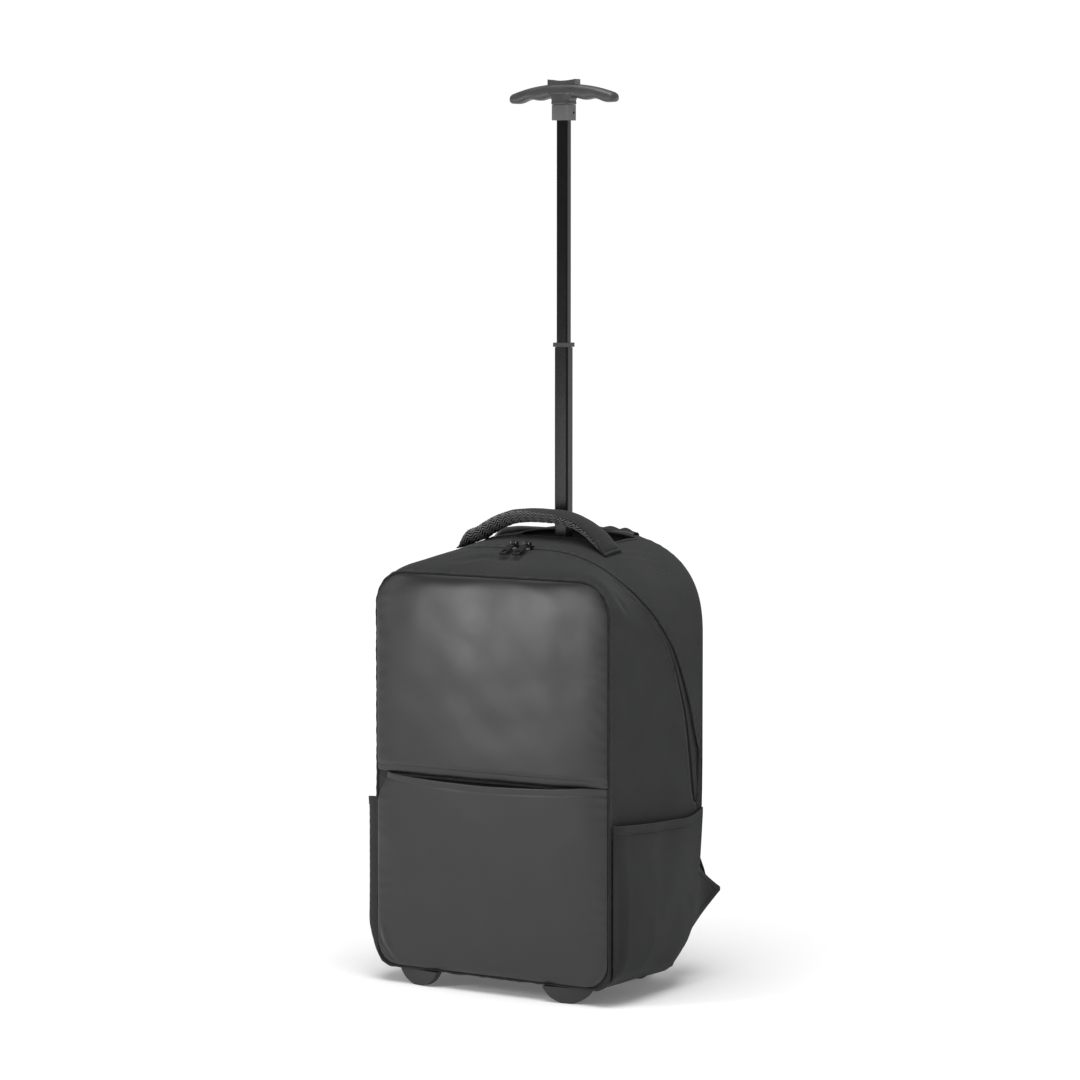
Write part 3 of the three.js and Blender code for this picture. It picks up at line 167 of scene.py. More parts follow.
def read(table, column, place):
    """A column of a table at a place, on a smooth curve through its rows."""
    rows = np.asarray(table, float)
    xs, ys = rows[:, 0], rows[:, column]
    steps = np.diff(xs)
    slopes = np.diff(ys) / steps
    product = slopes[:-1] * slopes[1:]
    total = np.where(np.abs(slopes[:-1] + slopes[1:]) > 1e-9, slopes[:-1] + slopes[1:], 1)
    inner = np.where(product > 0, 2 * product / total, 0)
    lean = np.concatenate(([slopes[0]], inner, [slopes[-1]]))
    at = np.clip(np.asarray(place, float), xs[0], xs[-1])
    i = np.clip(np.searchsorted(xs, at) - 1, 0, len(xs) - 2)
    t = (at - xs[i]) / steps[i]
    a = (1 + 2 * t) * (1 - t) ** 2 * ys[i] + t * t * (3 - 2 * t) * ys[i + 1]
    return a + steps[i] * (t * (1 - t) ** 2 * lean[i] - t * t * (1 - t) * lean[i + 1])


def top_z(s):
    return TOP * read(TOP_FORM, 1, s / DEPTH)


def bottom_z(s):
    return FLOOR + (TOP - FLOOR) * read(BACK_FORM, 1, s / DEPTH)


def body_point(step, s, inset=0.0):
    """A point of the bag's outline at a step and a depth, taken in by inset."""
    step, s, inset = np.broadcast_arrays(np.asarray(step, float), s, inset)
    k = np.where(step > HALF_STEPS, RING - step, step)
    side = np.where(step > HALF_STEPS, -1.0, 1.0)
    half = HALF - inset
    low = bottom_z(np.minimum(s + inset, DEPTH)) + inset
    high = top_z(s) - inset
    share = s / DEPTH
    wide = read(TOP_FORM, 2, share) * HALF - inset * 0.9
    tall = read(TOP_FORM, 3, share) * HALF - inset * 0.9
    power = read(TOP_FORM, 4, share)
    corner = BOTTOM_CORNER - inset / 2
    foot = limit((k - 3) / 4) * math.pi / 2
    crown = limit((k - 12) / 8) * math.pi / 2
    bend_x = half - wide + wide * np.cos(crown).clip(0, 1) ** (2 / power)
    bend_z = high - tall + tall * np.sin(crown).clip(0, 1) ** (2 / power)
    choices = [k <= 3, k <= 7, k <= 12, k <= 20]
    x = np.select(
        choices,
        [(half - corner) * k / 3, half - corner + corner * np.sin(foot), half, bend_x],
        (half - wide) * (HALF_STEPS - k) / 2,
    )
    z = np.select(
        choices,
        [low, low + corner * (1 - np.cos(foot)), mix(low + corner, high - tall, (k - 7) / 5), bend_z],
        high,
    )
    return np.stack((x * side, RIM_Y + s, z), -1)


def zip_depth(step):
    """Depth at which the zip's middle crosses each step of the outline."""
    s = np.full(np.shape(step), DEPTH / 2)
    for _ in range(40):
        height = body_point(step, s)[..., 2] / TOP
        s = mix(s, DEPTH * read(ZIP_FORM, 1, height), 0.5)
    return s


def zip_half_gap(step):
    over = body_point(step, zip_depth(step))[..., 2] - ZIP_LOW_END
    share = limit(over / (TOP - ZIP_LOW_END))
    width = mix(19.0, 6.0, limit(share * share * 1.35))
    return np.where(over < 0, 1.4, mix(1.4, width, limit(over / 30))) / 2


def surface_z(x, s):
    """Height of the bag's top over places across and in depth."""
    steps = np.linspace(HALF_STEPS, 10, 160)
    x, s = np.broadcast_arrays(np.abs(np.asarray(x, float)), np.asarray(s, float))
    line = body_point(steps, s[..., None])
    flat = line.reshape(-1, len(steps), 3)
    found = [np.interp(a, b[:, 0], b[:, 2]) for a, b in zip(x.ravel(), flat)]
    return np.array(found).reshape(x.shape)


def back_y(x, z):
    """How far back the bag reaches at places across and up."""
    depths = np.linspace(DEPTH * 0.6, DEPTH, 240)
    lows = bottom_z(depths)
    edge = np.maximum(0, np.abs(x) - (HALF - BOTTOM_CORNER))
    lift = BOTTOM_CORNER - np.sqrt(np.maximum(0, BOTTOM_CORNER**2 - edge**2))
    return RIM_Y + np.interp(z - lift, lows, depths)


def waves(points, length, seed, count=7):
    """Smooth bumps from about -1 to 1, roughly a length apart and the same each run."""
    random = np.random.default_rng(seed)
    total = np.zeros(points.shape[:-1])
    for _ in range(count):
        way = random.normal(size=3)
        way /= np.linalg.norm(way)
        turn = 2 * math.pi / length * random.uniform(0.7, 1.4)
        total += np.sin(points @ way * turn + random.uniform(0, 2 * math.pi))
    return total / math.sqrt(count) / 1.1


def folds(points, lines, width):
    """Grooves with a low ridge beside them along lines of points, from -1 to about 0.4."""
    total = np.zeros(points.shape[:-1])
    for line in lines:
        line = np.asarray(line, float)
        nearest = np.full(points.shape[:-1], 1e9)
        strength = np.zeros(points.shape[:-1])
        spans = len(line) - 1
        for i in range(spans):
            a, b = line[i], line[i + 1]
            t = limit(((points - a) @ (b - a)) / ((b - a) @ (b - a)))
            away = np.linalg.norm(points - (a + t[..., None] * (b - a)), axis=-1)
            along = (i + t) / spans
            closer = away < nearest
            strength = np.where(closer, np.sin(math.pi * (0.08 + 0.84 * along)), strength)
            nearest = np.minimum(nearest, away)
        q = nearest / width
        total += strength * (0.42 * np.exp(-((q - 1.9) ** 2)) - np.exp(-q * q))
    return total


def lengths_along(points, axis):
    """Distance along a grid's rows or columns."""
    steps = np.linalg.norm(np.diff(points, axis=axis), axis=-1)
    start = np.zeros_like(np.take(steps, [0], axis=axis))
    return np.concatenate((start, np.cumsum(steps, axis=axis)), axis=axis)


def grid_normals(points, wrap=False):
    """Unit normals of a grid, pointing to the right-hand side of rows x columns."""
    if wrap:
        padded = np.concatenate((points[:, -1:], points, points[:, :1]), axis=1)
        across = (padded[:, 2:] - padded[:, :-2]) / 2
    else:
        across = np.gradient(points, axis=1)
    along = np.gradient(points, axis=0)
    normal = np.cross(across, along)
    size = np.linalg.norm(normal, axis=-1, keepdims=True)
    return normal / np.maximum(size, 1e-9)


def border_of(points):
    """The points round a grid's border, in order."""
    return np.concatenate((points[0, :-1], points[:-1, -1], points[-1, :0:-1], points[:0:-1, 0]))


def turned_under(edge, steps, stop):
    """Rows of a panel's edge folded behind it; each step goes back and up."""
    rows = []
    for back, up in steps:
        row = edge.copy()
        row[:, 1] = np.minimum(row[:, 1] + back, stop)
        row[:, 2] += up
        rows.append(row)
    return np.stack(rows)


class Part:
    """Points and faces that become one mesh."""

    def __init__(self):
        self.points, self.uvs, self.faces, self.kinds = [], [], [], []
        self.count = 0

    def grid(self, points, wrap=False, flip=False, kind=None, uv=None):
        """Adds a grid of points; kind gives each of its points a material number, uv its cloth."""
        rows, columns = points.shape[:2]
        index = self.count + np.arange(rows * columns).reshape(rows, columns)
        if wrap:
            index = np.hstack((index, index[:, :1]))
        a, b, c, d = index[:-1, :-1], index[:-1, 1:], index[1:, 1:], index[1:, :-1]
        order = (d, c, b, a) if flip else (a, b, c, d)
        faces = np.stack(order, -1).reshape(-1, 4)
        u, v = uv if uv else (lengths_along(points, 1), lengths_along(points, 0))
        kinds = np.zeros((rows, columns), int) if kind is None else kind
        if wrap:
            kinds = np.hstack((kinds, kinds[:, :1]))
        self.points.append(points.reshape(-1, 3))
        self.uvs.append(np.stack((u, v), -1).reshape(-1, 2))
        self.faces += faces.tolist()
        self.kinds += kinds[:-1, :-1].ravel().tolist()
        self.count += rows * columns
        return index

    def fan(self, ring, middle, flip=False):
        """Closes a ring of points with triangles to a middle point."""
        ring = np.asarray(ring, float)
        n = len(ring)
        points = np.vstack((ring, [middle]))
        first = self.count
        for i in range(n):
            face = [first + i, first + (i + 1) % n, first + n]
            self.faces.append(face[::-1] if flip else face)
        self.points.append(points)
        self.uvs.append(points[:, (0, 2)])
        self.kinds += [0] * n
        self.count += n + 1

    def rod(self, points, flip=False, kind=None, uv=None):
        """Adds a line of closed rings and fills the first and the last."""
        self.grid(points, wrap=True, flip=flip, kind=kind, uv=uv)
        self.fan(points[0], points[0].mean(0), flip=not flip)
        self.fan(points[-1], points[-1].mean(0), flip=flip)

    def build(self, name, *materials):
        mesh = bpy.data.meshes.new(name)
        points = np.vstack(self.points) * MM
        mesh.from_pydata(points.tolist(), [], self.faces)
        corners = np.empty(len(mesh.loops), np.int32)
        mesh.loops.foreach_get("vertex_index", corners)
        layer = mesh.uv_layers.new(name="cloth")
        layer.data.foreach_set("uv", (np.vstack(self.uvs) * MM)[corners].astype(np.float32).ravel())
        for material in materials:
            mesh.materials.append(material)
        mesh.polygons.foreach_set("material_index", np.array(self.kinds, np.int32))
        mesh.shade_smooth()
        thing = bpy.data.objects.new(name, mesh)
        bpy.context.scene.collection.objects.link(thing)
        return thing


def settle(thing, body, slot, *nodes):
    """Puts a finished piece on its body in place of CAD nodes, which it hides; its slot is not used."""
    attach(thing, body)
    if nodes:
        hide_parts(*nodes)
    return thing


def cut_box(thing, low, high):
    """Removes the part of a thin surface that lies in a box."""
    work = bmesh.new()
    work.from_mesh(thing.data)
    low, high = Vector(low) * MM, Vector(high) * MM
    for axis in range(3):
        for corner in (low, high):
            normal = Vector([1.0 if i == axis else 0.0 for i in range(3)])
            parts = work.verts[:] + work.edges[:] + work.faces[:]
            bmesh.ops.bisect_plane(work, geom=parts, plane_co=corner, plane_no=normal)
    inside = []
    for face in work.faces:
        c = face.calc_center_median()
        if all(low[i] < c[i] < high[i] for i in range(3)):
            inside.append(face)
    bmesh.ops.delete(work, geom=inside, context="FACES")
    work.to_mesh(thing.data)
    work.free()


def modify(thing, kind, **values):
    modifier = thing.modifiers.new(kind.lower(), kind)
    for name, value in values.items():
        setattr(modifier, name, value)
    return modifier


def apply_modifiers(thing):
    """Keeps the modified mesh as the piece's own."""
    graph = bpy.context.evaluated_depsgraph_get()
    mesh = bpy.data.meshes.new_from_object(thing.evaluated_get(graph))
    thing.modifiers.clear()
    thing.data = mesh


class Shader:
    """A material's nodes, with short calls that add to them."""

    def __init__(self, name):
        self.material = bpy.data.materials.new(name)
        self.material.use_nodes = True
        self.tree = self.material.node_tree
        self.bsdf = self.tree.nodes["Principled BSDF"]
        self.coordinates = self.tree.nodes.new("ShaderNodeTexCoord")
        self.uv = self.coordinates.outputs["UV"]
        self.place = self.coordinates.outputs["Object"]

    def put(self, socket, value):
        if isinstance(value, bpy.types.NodeSocket):
            self.tree.links.new(value, socket)
        else:
            socket.default_value = value

    def set(self, **inputs):
        for name, value in inputs.items():
            self.put(self.bsdf.inputs[name.replace("_", " ")], value)

    def maths(self, operation, *values):
        node = self.tree.nodes.new("ShaderNodeMath")
        node.operation = operation
        for i, value in enumerate(values):
            self.put(node.inputs[i], value)
        return node.outputs[0]

    def parts(self, where):
        node = self.tree.nodes.new("ShaderNodeSeparateXYZ")
        self.put(node.inputs[0], where)
        return node.outputs

    def noise(self, where, size, detail=2.0, rough=0.5):
        """Noise whose bumps are about a size apart, in millimetres."""
        node = self.tree.nodes.new("ShaderNodeTexNoise")
        self.put(node.inputs["Vector"], where)
        self.put(node.inputs["Scale"], 1000.0 / size)
        self.put(node.inputs["Detail"], detail)
        self.put(node.inputs["Roughness"], rough)
        return node.outputs[0]

    def cells(self, where, size):
        node = self.tree.nodes.new("ShaderNodeTexVoronoi")
        self.put(node.inputs["Vector"], where)
        self.put(node.inputs["Scale"], 1000.0 / size)
        self.put(node.inputs["Randomness"], 0.15)
        return node.outputs["Distance"]

    def ripple(self, value, period):
        """A sine from 0 to 1 of a coordinate in metres, with a period in millimetres."""
        turned = self.maths("SINE", self.maths("MULTIPLY", value, 2000 * math.pi / period))
        return self.maths("MULTIPLY_ADD", turned, 0.5, 0.5)

    def spread(self, value, low, high, start=0.0, end=1.0):
        node = self.tree.nodes.new("ShaderNodeMapRange")
        for i, number in enumerate((value, start, end, low, high)):
            self.put(node.inputs[i], number)
        return node.outputs[0]

    def tint(self, share, a, b):
        node = self.tree.nodes.new("ShaderNodeMix")
        node.data_type = "RGBA"
        self.put(node.inputs["Factor"], share)
        for i, colour in ((6, a), (7, b)):
            self.put(node.inputs[i], colour)
        return node.outputs[2]

    def bump(self, height, distance, under=None):
        """A bump with its depth in millimetres, on top of another one where given."""
        node = self.tree.nodes.new("ShaderNodeBump")
        node.inputs["Distance"].default_value = distance * MM
        self.put(node.inputs["Height"], height)
        if under is not None:
            self.put(node.inputs["Normal"], under)
        return node.outputs[0]

    def edges(self, low=0.505, high=0.56):
        """How far a place of a fine mesh stands out as an edge, from 0 to 1."""
        node = self.tree.nodes.new("ShaderNodeNewGeometry")
        return self.spread(node.outputs["Pointiness"], 0.0, 1.0, low, high)

    def corners(self, radius=1.0):
        """How near a place is to a hard edge, from 0 to 1, on meshes of any fineness."""
        bevel = self.tree.nodes.new("ShaderNodeBevel")
        bevel.inputs["Radius"].default_value = radius * MM
        plain = self.tree.nodes.new("ShaderNodeNewGeometry")
        node = self.tree.nodes.new("ShaderNodeVectorMath")
        node.operation = "DOT_PRODUCT"
        self.put(node.inputs[0], bevel.outputs[0])
        self.put(node.inputs[1], plain.outputs["Normal"])
        return self.spread(node.outputs["Value"], 1.0, 0.0, 0.8, 0.995)


def grey(value, warm=0.0):
    """A grey by its 0 to 255 screen value, slightly warm or cool."""
    linear = (value / 255) ** 2.2
    return (linear * (1 + warm), linear, linear * (1 - warm), 1.0)


def woven(name, shade, rough, thread, slub=0.14, fleck=0.1, sheen=0.15, worn=1.35):
    """Woven cloth: crossing threads, uneven yarn, soft mottling and paler worn edges."""
    s = Shader(name)
    u, v = s.parts(s.uv)[:2]
    warp, weft = s.ripple(u, thread), s.ripple(v, thread * 1.1)
    cross = s.maths("MULTIPLY", warp, weft)
    yarn = s.noise(s.uv, thread * 2.4, 3.0, 0.65)
    blot = s.noise(s.place, 46.0, 2.0)
    tone = s.maths("ADD", s.spread(yarn, -fleck, fleck, 0.3, 0.7), s.spread(blot, -slub, slub, 0.3, 0.7))
    tone = s.maths("ADD", tone, s.spread(cross, -0.07, 0.07))
    low, high = grey(shade * 0.86, -0.02), grey(shade * 1.14, -0.005)
    colour = s.tint(s.maths("ADD", tone, 0.5), low, high)
    s.set(Base_Color=s.tint(s.maths("MULTIPLY", s.edges(), 0.5), colour, grey(shade * worn)))
    s.set(Roughness=s.spread(yarn, rough - 0.06, rough + 0.08, 0.3, 0.7))
    s.set(Sheen_Weight=sheen, Sheen_Roughness=0.5, Sheen_Tint=(0.7, 0.72, 0.76, 1.0))
    s.set(Specular_IOR_Level=0.22)
    weave = s.bump(s.maths("ADD", cross, s.maths("MULTIPLY", yarn, 0.8)), 0.1)
    s.set(Normal=s.bump(blot, 0.7, weave))
    return s.material


def coated(name, shade):
    """Coated cloth: a smooth satin film over fine threads, with long soft waves."""
    s = Shader(name)
    u, v = s.parts(s.uv)[:2]
    cross = s.maths("MULTIPLY", s.ripple(u, 0.7), s.ripple(v, 0.7))
    film = s.noise(s.uv, 1.6, 3.0, 0.6)
    blot = s.noise(s.place, 58.0, 2.0, 0.45)
    tone = s.maths("ADD", s.spread(blot, 0.2, 0.8, 0.32, 0.68), s.spread(film, -0.12, 0.12, 0.3, 0.7))
    colour = s.tint(tone, grey(shade * 0.93, -0.02), grey(shade * 1.07, 0.0))
    s.set(Base_Color=s.tint(s.maths("MULTIPLY", s.edges(), 0.4), colour, grey(shade * 1.3)))
    s.set(Roughness=s.spread(blot, 0.36, 0.44, 0.3, 0.7), Specular_IOR_Level=0.55)
    s.set(Sheen_Weight=0.1, Sheen_Roughness=0.4)
    fine = s.bump(s.maths("ADD", s.maths("MULTIPLY", cross, 0.5), film), 0.035)
    s.set(Normal=s.bump(blot, 0.9, fine))
    return s.material


def herringbone(name, shade):
    """Coarse knitted mesh in a herringbone; its gaps carry painted shade, nearly black and without shine.
    """
    s = Shader(name)
    u, v = s.parts(s.uv)[:2]
    bend = s.maths("PINGPONG", v, HERRINGBONE_TURN * MM)
    bars = s.ripple(s.maths("ADD", u, bend), HERRINGBONE_BAR)
    fibre = s.noise(s.uv, 0.7, 3.0, 0.7)
    share = s.maths("ADD", bars, s.spread(fibre, -0.2, 0.2, 0.3, 0.7))
    # The gaps' near-black colour is painted shade for the hollows between the bars, and their shine is
    # taken away to keep that shade dark.
    s.set(Base_Color=s.tint(s.spread(share, 0.0, 1.0, 0.15, 0.85), grey(shade * 0.1), grey(shade * 2.3)))
    s.set(Roughness=0.8, Specular_IOR_Level=s.spread(share, 0.0, 0.35, 0.3, 0.9))
    s.set(Normal=s.bump(s.maths("ADD", bars, s.maths("MULTIPLY", fibre, 0.3)), 0.8))
    return s.material


def air_mesh(name, shade):
    """Knitted spacer mesh with small round holes; it needs no UVs."""
    s = Shader(name)
    holes = s.spread(s.cells(s.place, 2.6), 0.0, 1.0, 0.18, 0.42)
    fibre = s.noise(s.place, 0.8, 3.0, 0.7)
    blot = s.noise(s.place, 40.0)
    tone = s.maths("ADD", s.maths("MULTIPLY", holes, 0.75), s.spread(fibre, -0.15, 0.15, 0.3, 0.7))
    tone = s.maths("ADD", tone, s.spread(blot, -0.1, 0.1, 0.3, 0.7))
    s.set(Base_Color=s.tint(tone, grey(shade * 0.45), grey(shade * 1.2)), Roughness=0.88)
    s.set(Sheen_Weight=0.2, Specular_IOR_Level=0.2)
    s.set(Normal=s.bump(s.maths("ADD", holes, s.maths("MULTIPLY", fibre, 0.4)), 0.4))
    return s.material


def ribbed(name, shade, period, across=False):
    """Ribbed band cloth: zip tape and webbing."""
    s = Shader(name)
    u, v = s.parts(s.uv)[:2]
    ribs = s.ripple(v if across else u, period)
    cords = s.ripple(u if across else v, period * 2.2)
    fibre = s.noise(s.uv, 0.8, 3.0, 0.6)
    tone = s.maths("ADD", s.maths("MULTIPLY", ribs, 0.6), s.maths("MULTIPLY", fibre, 0.4))
    s.set(Base_Color=s.tint(tone, grey(shade * 0.7), grey(shade * 1.2)), Roughness=0.75)
    s.set(Specular_IOR_Level=0.3, Sheen_Weight=0.1)
    s.set(Normal=s.bump(s.maths("ADD", ribs, s.maths("MULTIPLY", cords, 0.5)), 0.22))
    return s.material


def moulded(name, shade, rough, grain=0.05, worn=1.5):
    """Moulded plastic: fine spark-eroded grain, uneven gloss and paler rubbed edges."""
    s = Shader(name)
    spark = s.noise(s.place, 0.55, 2.0, 0.6)
    blot = s.noise(s.place, 22.0, 3.0)
    rub = s.noise(s.place, 5.0, 4.0, 0.6)
    colour = s.tint(s.spread(blot, 0.0, 1.0, 0.3, 0.7), grey(shade * 0.93), grey(shade * 1.06))
    share = s.maths("MULTIPLY", s.corners(), s.spread(rub, 0.1, 0.8, 0.35, 0.7))
    s.set(Base_Color=s.tint(share, colour, grey(shade * worn)))
    s.set(Roughness=s.spread(blot, rough - 0.06, rough + 0.07, 0.3, 0.7))
    s.set(Normal=s.bump(spark, grain))
    return s.material


def metal(name, shade, rough, metallic, drawn=0.0):
    """Lacquered, anodised or plain metal with fine lines along its length."""
    s = Shader(name)
    x, y, z = s.parts(s.place)[:3]
    joined = s.tree.nodes.new("ShaderNodeCombineXYZ")
    for socket, value in zip(joined.inputs, (x, y, s.maths("MULTIPLY", z, 0.03))):
        s.put(socket, value)
    lines = s.noise(joined.outputs[0], 0.35, 2.0, 0.6)
    blot = s.noise(s.place, 30.0, 3.0)
    rub = s.noise(s.place, 4.0, 4.0, 0.6)
    colour = s.tint(s.spread(blot, 0.0, 1.0, 0.3, 0.7), grey(shade * 0.92), grey(shade * 1.08))
    share = s.maths("MULTIPLY", s.corners(0.6), s.spread(rub, 0.1, 0.7, 0.4, 0.7))
    s.set(Base_Color=s.tint(share, colour, grey(min(200, shade * 2.2))))
    s.set(Metallic=metallic, Roughness=s.spread(lines, rough - 0.05, rough + 0.07, 0.3, 0.7))
    s.set(Normal=s.bump(lines, 0.002 + drawn))
    return s.material


def rubber(name):
    s = Shader(name)
    dust = s.noise(s.place, 7.0, 4.0, 0.65)
    grain = s.noise(s.place, 0.7, 3.0)
    s.set(Base_Color=s.tint(s.spread(dust, 0.0, 1.0, 0.45, 0.75), grey(34), grey(52, 0.03)))
    s.set(Roughness=s.spread(dust, 0.7, 0.9), Normal=s.bump(grain, 0.12))
    return s.material


def thread(name, shade):
    """Twisted sewing thread."""
    s = Shader(name)
    twist = s.ripple(s.maths("ADD", s.parts(s.uv)[0], s.parts(s.uv)[1]), 0.6)
    s.set(Base_Color=s.tint(twist, grey(shade * 0.7), grey(shade * 1.15)), Roughness=0.6)
    s.set(Normal=s.bump(twist, 0.08))
    return s.material


HERRINGBONE_TURN = 5.6
HERRINGBONE_BAR = 4.2

CLOTH_LOOK = woven("charcoal cloth", 44, 0.88, 0.62, sheen=0.08)
BINDING_LOOK = woven("binding cloth", 38, 0.8, 0.9, sheen=0.1)
LINING_LOOK = woven("lining cloth", 26, 0.7, 0.8, worn=1.2)
# A lighter copy of the cloth for the collar's top band: painted light, where light from above falls on it.
LIT_HEM_LOOK = woven("hem cloth painted lit", 74, 0.8, 0.7, worn=1.1)
COATED_LOOK = coated("coated cloth", 27)
HERRINGBONE_LOOK = herringbone("herringbone mesh", 44)
AIR_LOOK = air_mesh("spacer mesh", 38)
TAPE_LOOK = ribbed("zip tape", 24, 0.8)
WEBBING_LOOK = ribbed("webbing", 34, 1.3, across=True)
COIL_LOOK = moulded("zip coil", 34, 0.4)
PLASTIC_LOOK = moulded("satin plastic", 58, 0.42)
SOCKET_LOOK = moulded("socket plastic", 84, 0.45)
BUTTON_LOOK = moulded("button plastic", 60, 0.3)
CARRIAGE_LOOK = moulded("carriage plastic", 44, 0.55)
TUBE_LOOK = metal("anodised tube", 24, 0.26, 0.7)
LACQUER_LOOK = metal("black lacquer", 26, 0.3, 0.4)
STEEL_LOOK = metal("plain steel", 150, 0.3, 1.0, 0.01)
RUBBER_LOOK = rubber("tyre rubber")
THREAD_LOOK = thread("sewing thread", 62)


def sunk_cloth(points, normals, seam_away, along, seed, deep=1.3, lines=()):
    """Cloth that sags a little between its seams and puckers where it is sewn."""
    slow = 0.5 * waves(points, 105, seed) - 0.5
    fast = 0.5 * waves(points, 38, seed + 1) - 0.5
    held = 1 - np.exp(-seam_away / 16)
    sink = deep * held * (0.75 * slow + 0.25 * fast)
    phase = along * 2 * math.pi / 12.5 + 2.2 * waves(points, 60, seed + 2)
    sink -= 0.38 * (1 + np.sin(phase)) * np.exp(-((seam_away / 7) ** 1.5)) * ease(seam_away / 1.5)
    if len(lines):
        sink += 1.7 * folds(points, lines, 4.5)
    return points + normals * sink[..., None]


# Wrinkles in the front shell: over the upper corners, and shallow ones along its top and sides
FRONT_FOLDS = [
    [(84, -124, 457), (116, -117, 450), (140, -104, 437), (152, -90, 424)],
    [(-60, -110, 470), (-20, -100, 477), (20, -104, 475)],
    [(84, -118, 459), (110, -119, 454), (136, -118, 447)],
    [(-92, -122, 457), (-124, -112, 447), (-148, -96, 430)],
]


# The seam that runs on from the grab handle's ends
BACK_FOLDS = [
    [(97, -46, 484), (104, -20, 482), (112, 5, 479), (122, 28, 475)],
    [(-97, -46, 484), (-104, -20, 482), (-112, 5, 479), (-122, 28, 475)],
]


def front_shell():
    at, gap = zip_depth(FULL_RING), zip_half_gap(FULL_RING)
    way = np.linspace(0, 1, 66)[:, None]
    s = mix(0.0, at - gap, way)
    points = body_point(FULL_RING, s)
    normals = grid_normals(points, wrap=True)
    outward = np.sign(np.sum(normals[20, :] * (points[20, :] - (0, 0, 240)), -1).mean())
    normals = normals * outward
    away = np.minimum(s, (at - gap) - s)
    along = lengths_along(points, 1)[10]
    points = sunk_cloth(points, normals, away, along, 11, 1.5, FRONT_FOLDS)
    edge = at - gap
    rolled = [(0.5, 0.7), (0.4, 1.7), (-0.6, 2.6), (-4.0, 2.7)]
    lip = np.stack([body_point(FULL_RING, edge + a, b) for a, b in rolled])
    part = Part()
    part.grid(np.concatenate((points, lip)), wrap=True, flip=outward < 0)
    part.fan(points[0], (0, RIM_Y, 235), flip=outward > 0)
    thing = part.build("front_shell", CLOTH_LOOK)
    cut_box(thing, *CARRIAGE_NOTCH)
    return settle(thing, "bag", "cloth", "body_front")


def back_shell():
    at, gap = zip_depth(FULL_RING), zip_half_gap(FULL_RING)
    start = at + gap
    end = DEPTH - BACK_ROUND
    flat = mix(start, np.full_like(start, end), np.linspace(0, 1, 46)[:, None])
    points = body_point(FULL_RING, flat)
    turn = np.linspace(0, math.pi / 2, 9)[1:, None]
    depth = end + BACK_ROUND * np.sin(turn) + 0 * start
    inset = BACK_ROUND * (1 - np.cos(turn)) + 0 * start
    rounded = body_point(FULL_RING, depth, inset)
    points = np.concatenate((points, rounded))
    normals = grid_normals(points, wrap=True)
    outward = np.sign(np.sum(normals[20, :] * (points[20, :] - (0, 0, 300)), -1).mean())
    normals = normals * outward
    s = np.concatenate((flat, depth))
    away = np.minimum(s - start, np.abs(DEPTH - 4 - s))
    hole = 6 + np.maximum(np.abs(points[..., 0]) - 80, np.abs(points[..., 1] - 14) - 39)
    away = np.where(points[..., 2] > 440, np.minimum(away, np.maximum(hole, 0)), away)
    along = lengths_along(points, 1)[10]
    points = sunk_cloth(points, normals, away, along, 23, 1.1, BACK_FOLDS)
    mound = np.exp(-(((points[..., 0] + 98) / 26) ** 2) - ((points[..., 1] - 30) / 32) ** 2)
    points[..., 2] += 5.5 * mound * (points[..., 2] > 400)
    rolled = [(4.0, 2.7), (0.6, 2.6), (-0.4, 1.7), (-0.5, 0.7)]
    lip = np.stack([body_point(FULL_RING, start + a, b) for a, b in rolled])
    part = Part()
    part.grid(np.concatenate((lip, points)), wrap=True, flip=outward < 0)
    part.fan(points[-1], (0, BACK_Y, 380), flip=outward < 0)
    thing = part.build("back_shell", CLOTH_LOOK)
    cut_box(thing, *CARRIAGE_NOTCH)
    cut_box(thing, *STOW_HOLE)
    return settle(thing, "bag", "cloth", "body_back")


def zip_ring():
    """Steps of the outline where the zip runs, from one lower end to the other."""
    height = body_point(FULL_RING, zip_depth(FULL_RING))[:, 2]
    return FULL_RING[height > ZIP_LOW_END - 5]


def main_zip():
    """The tape, with the folded-over coil as a raised band along its middle."""
    steps = zip_ring()
    at, gap = zip_depth(steps), zip_half_gap(steps)
    share = np.array([-1, -0.6, -0.34, -0.3, -0.24, -0.12, 0, 0.12, 0.24, 0.3, 0.34, 0.6, 1])
    rise = np.array([0, 0, 0, 0.5, 0.9, 1, 0.78, 1, 0.9, 0.5, 0, 0, 0])
    half = np.maximum(gap + 3.5, 6.5)
    band = np.minimum(3.0, gap * 0.9)
    across = np.where(np.abs(share)[:, None] < 0.5, share[:, None] / 0.3 * band, share[:, None] * half)
    inset = 3.0 - 1.9 * rise[:, None] * limit(gap / 2.5)
    points = body_point(steps, at + across, inset + 0 * at)
    part = Part()
    part.grid(points)
    thing = part.build("main_zip_tape", TAPE_LOOK)
    return settle(thing, "bag", "zip_tape", "main_zip")


def welt():
    """Piping round the front, a little uneven as sewn."""
    angle = np.linspace(0, 2 * math.pi, 13)[:-1]
    base = body_point(FULL_RING, 0.0)
    along = lengths_along(base[None], 1)[0]
    uneven = 0.3 * waves(base, 26, 31) + 0.25 * np.sin(along * 2 * math.pi / 11 + 3 * waves(base, 70, 32))
    centre_in = 0.9 + uneven
    radius = 1.5 + 0.2 * waves(base, 17, 33)
    rows = []
    for a in angle:
        ring = body_point(FULL_RING, 0.0, centre_in - radius * math.cos(a))
        ring[:, 1] = RIM_Y - 0.4 - radius * math.sin(a) * 1.1
        rows.append(ring)
    part = Part()
    part.grid(np.stack(rows + rows[:1]), wrap=True, flip=True)
    thing = part.build("front_piping", CLOTH_LOOK)
    return settle(thing, "bag", "cloth", "front_welt")


# Tucks in the lower corners of the front panels
PANEL_TUCKS = [
    [(152, 0, 46), (147, 0, 36), (140, 0, 25)],
    [(-150, 0, 60), (-145, 0, 42), (-138, 0, 28)],
]


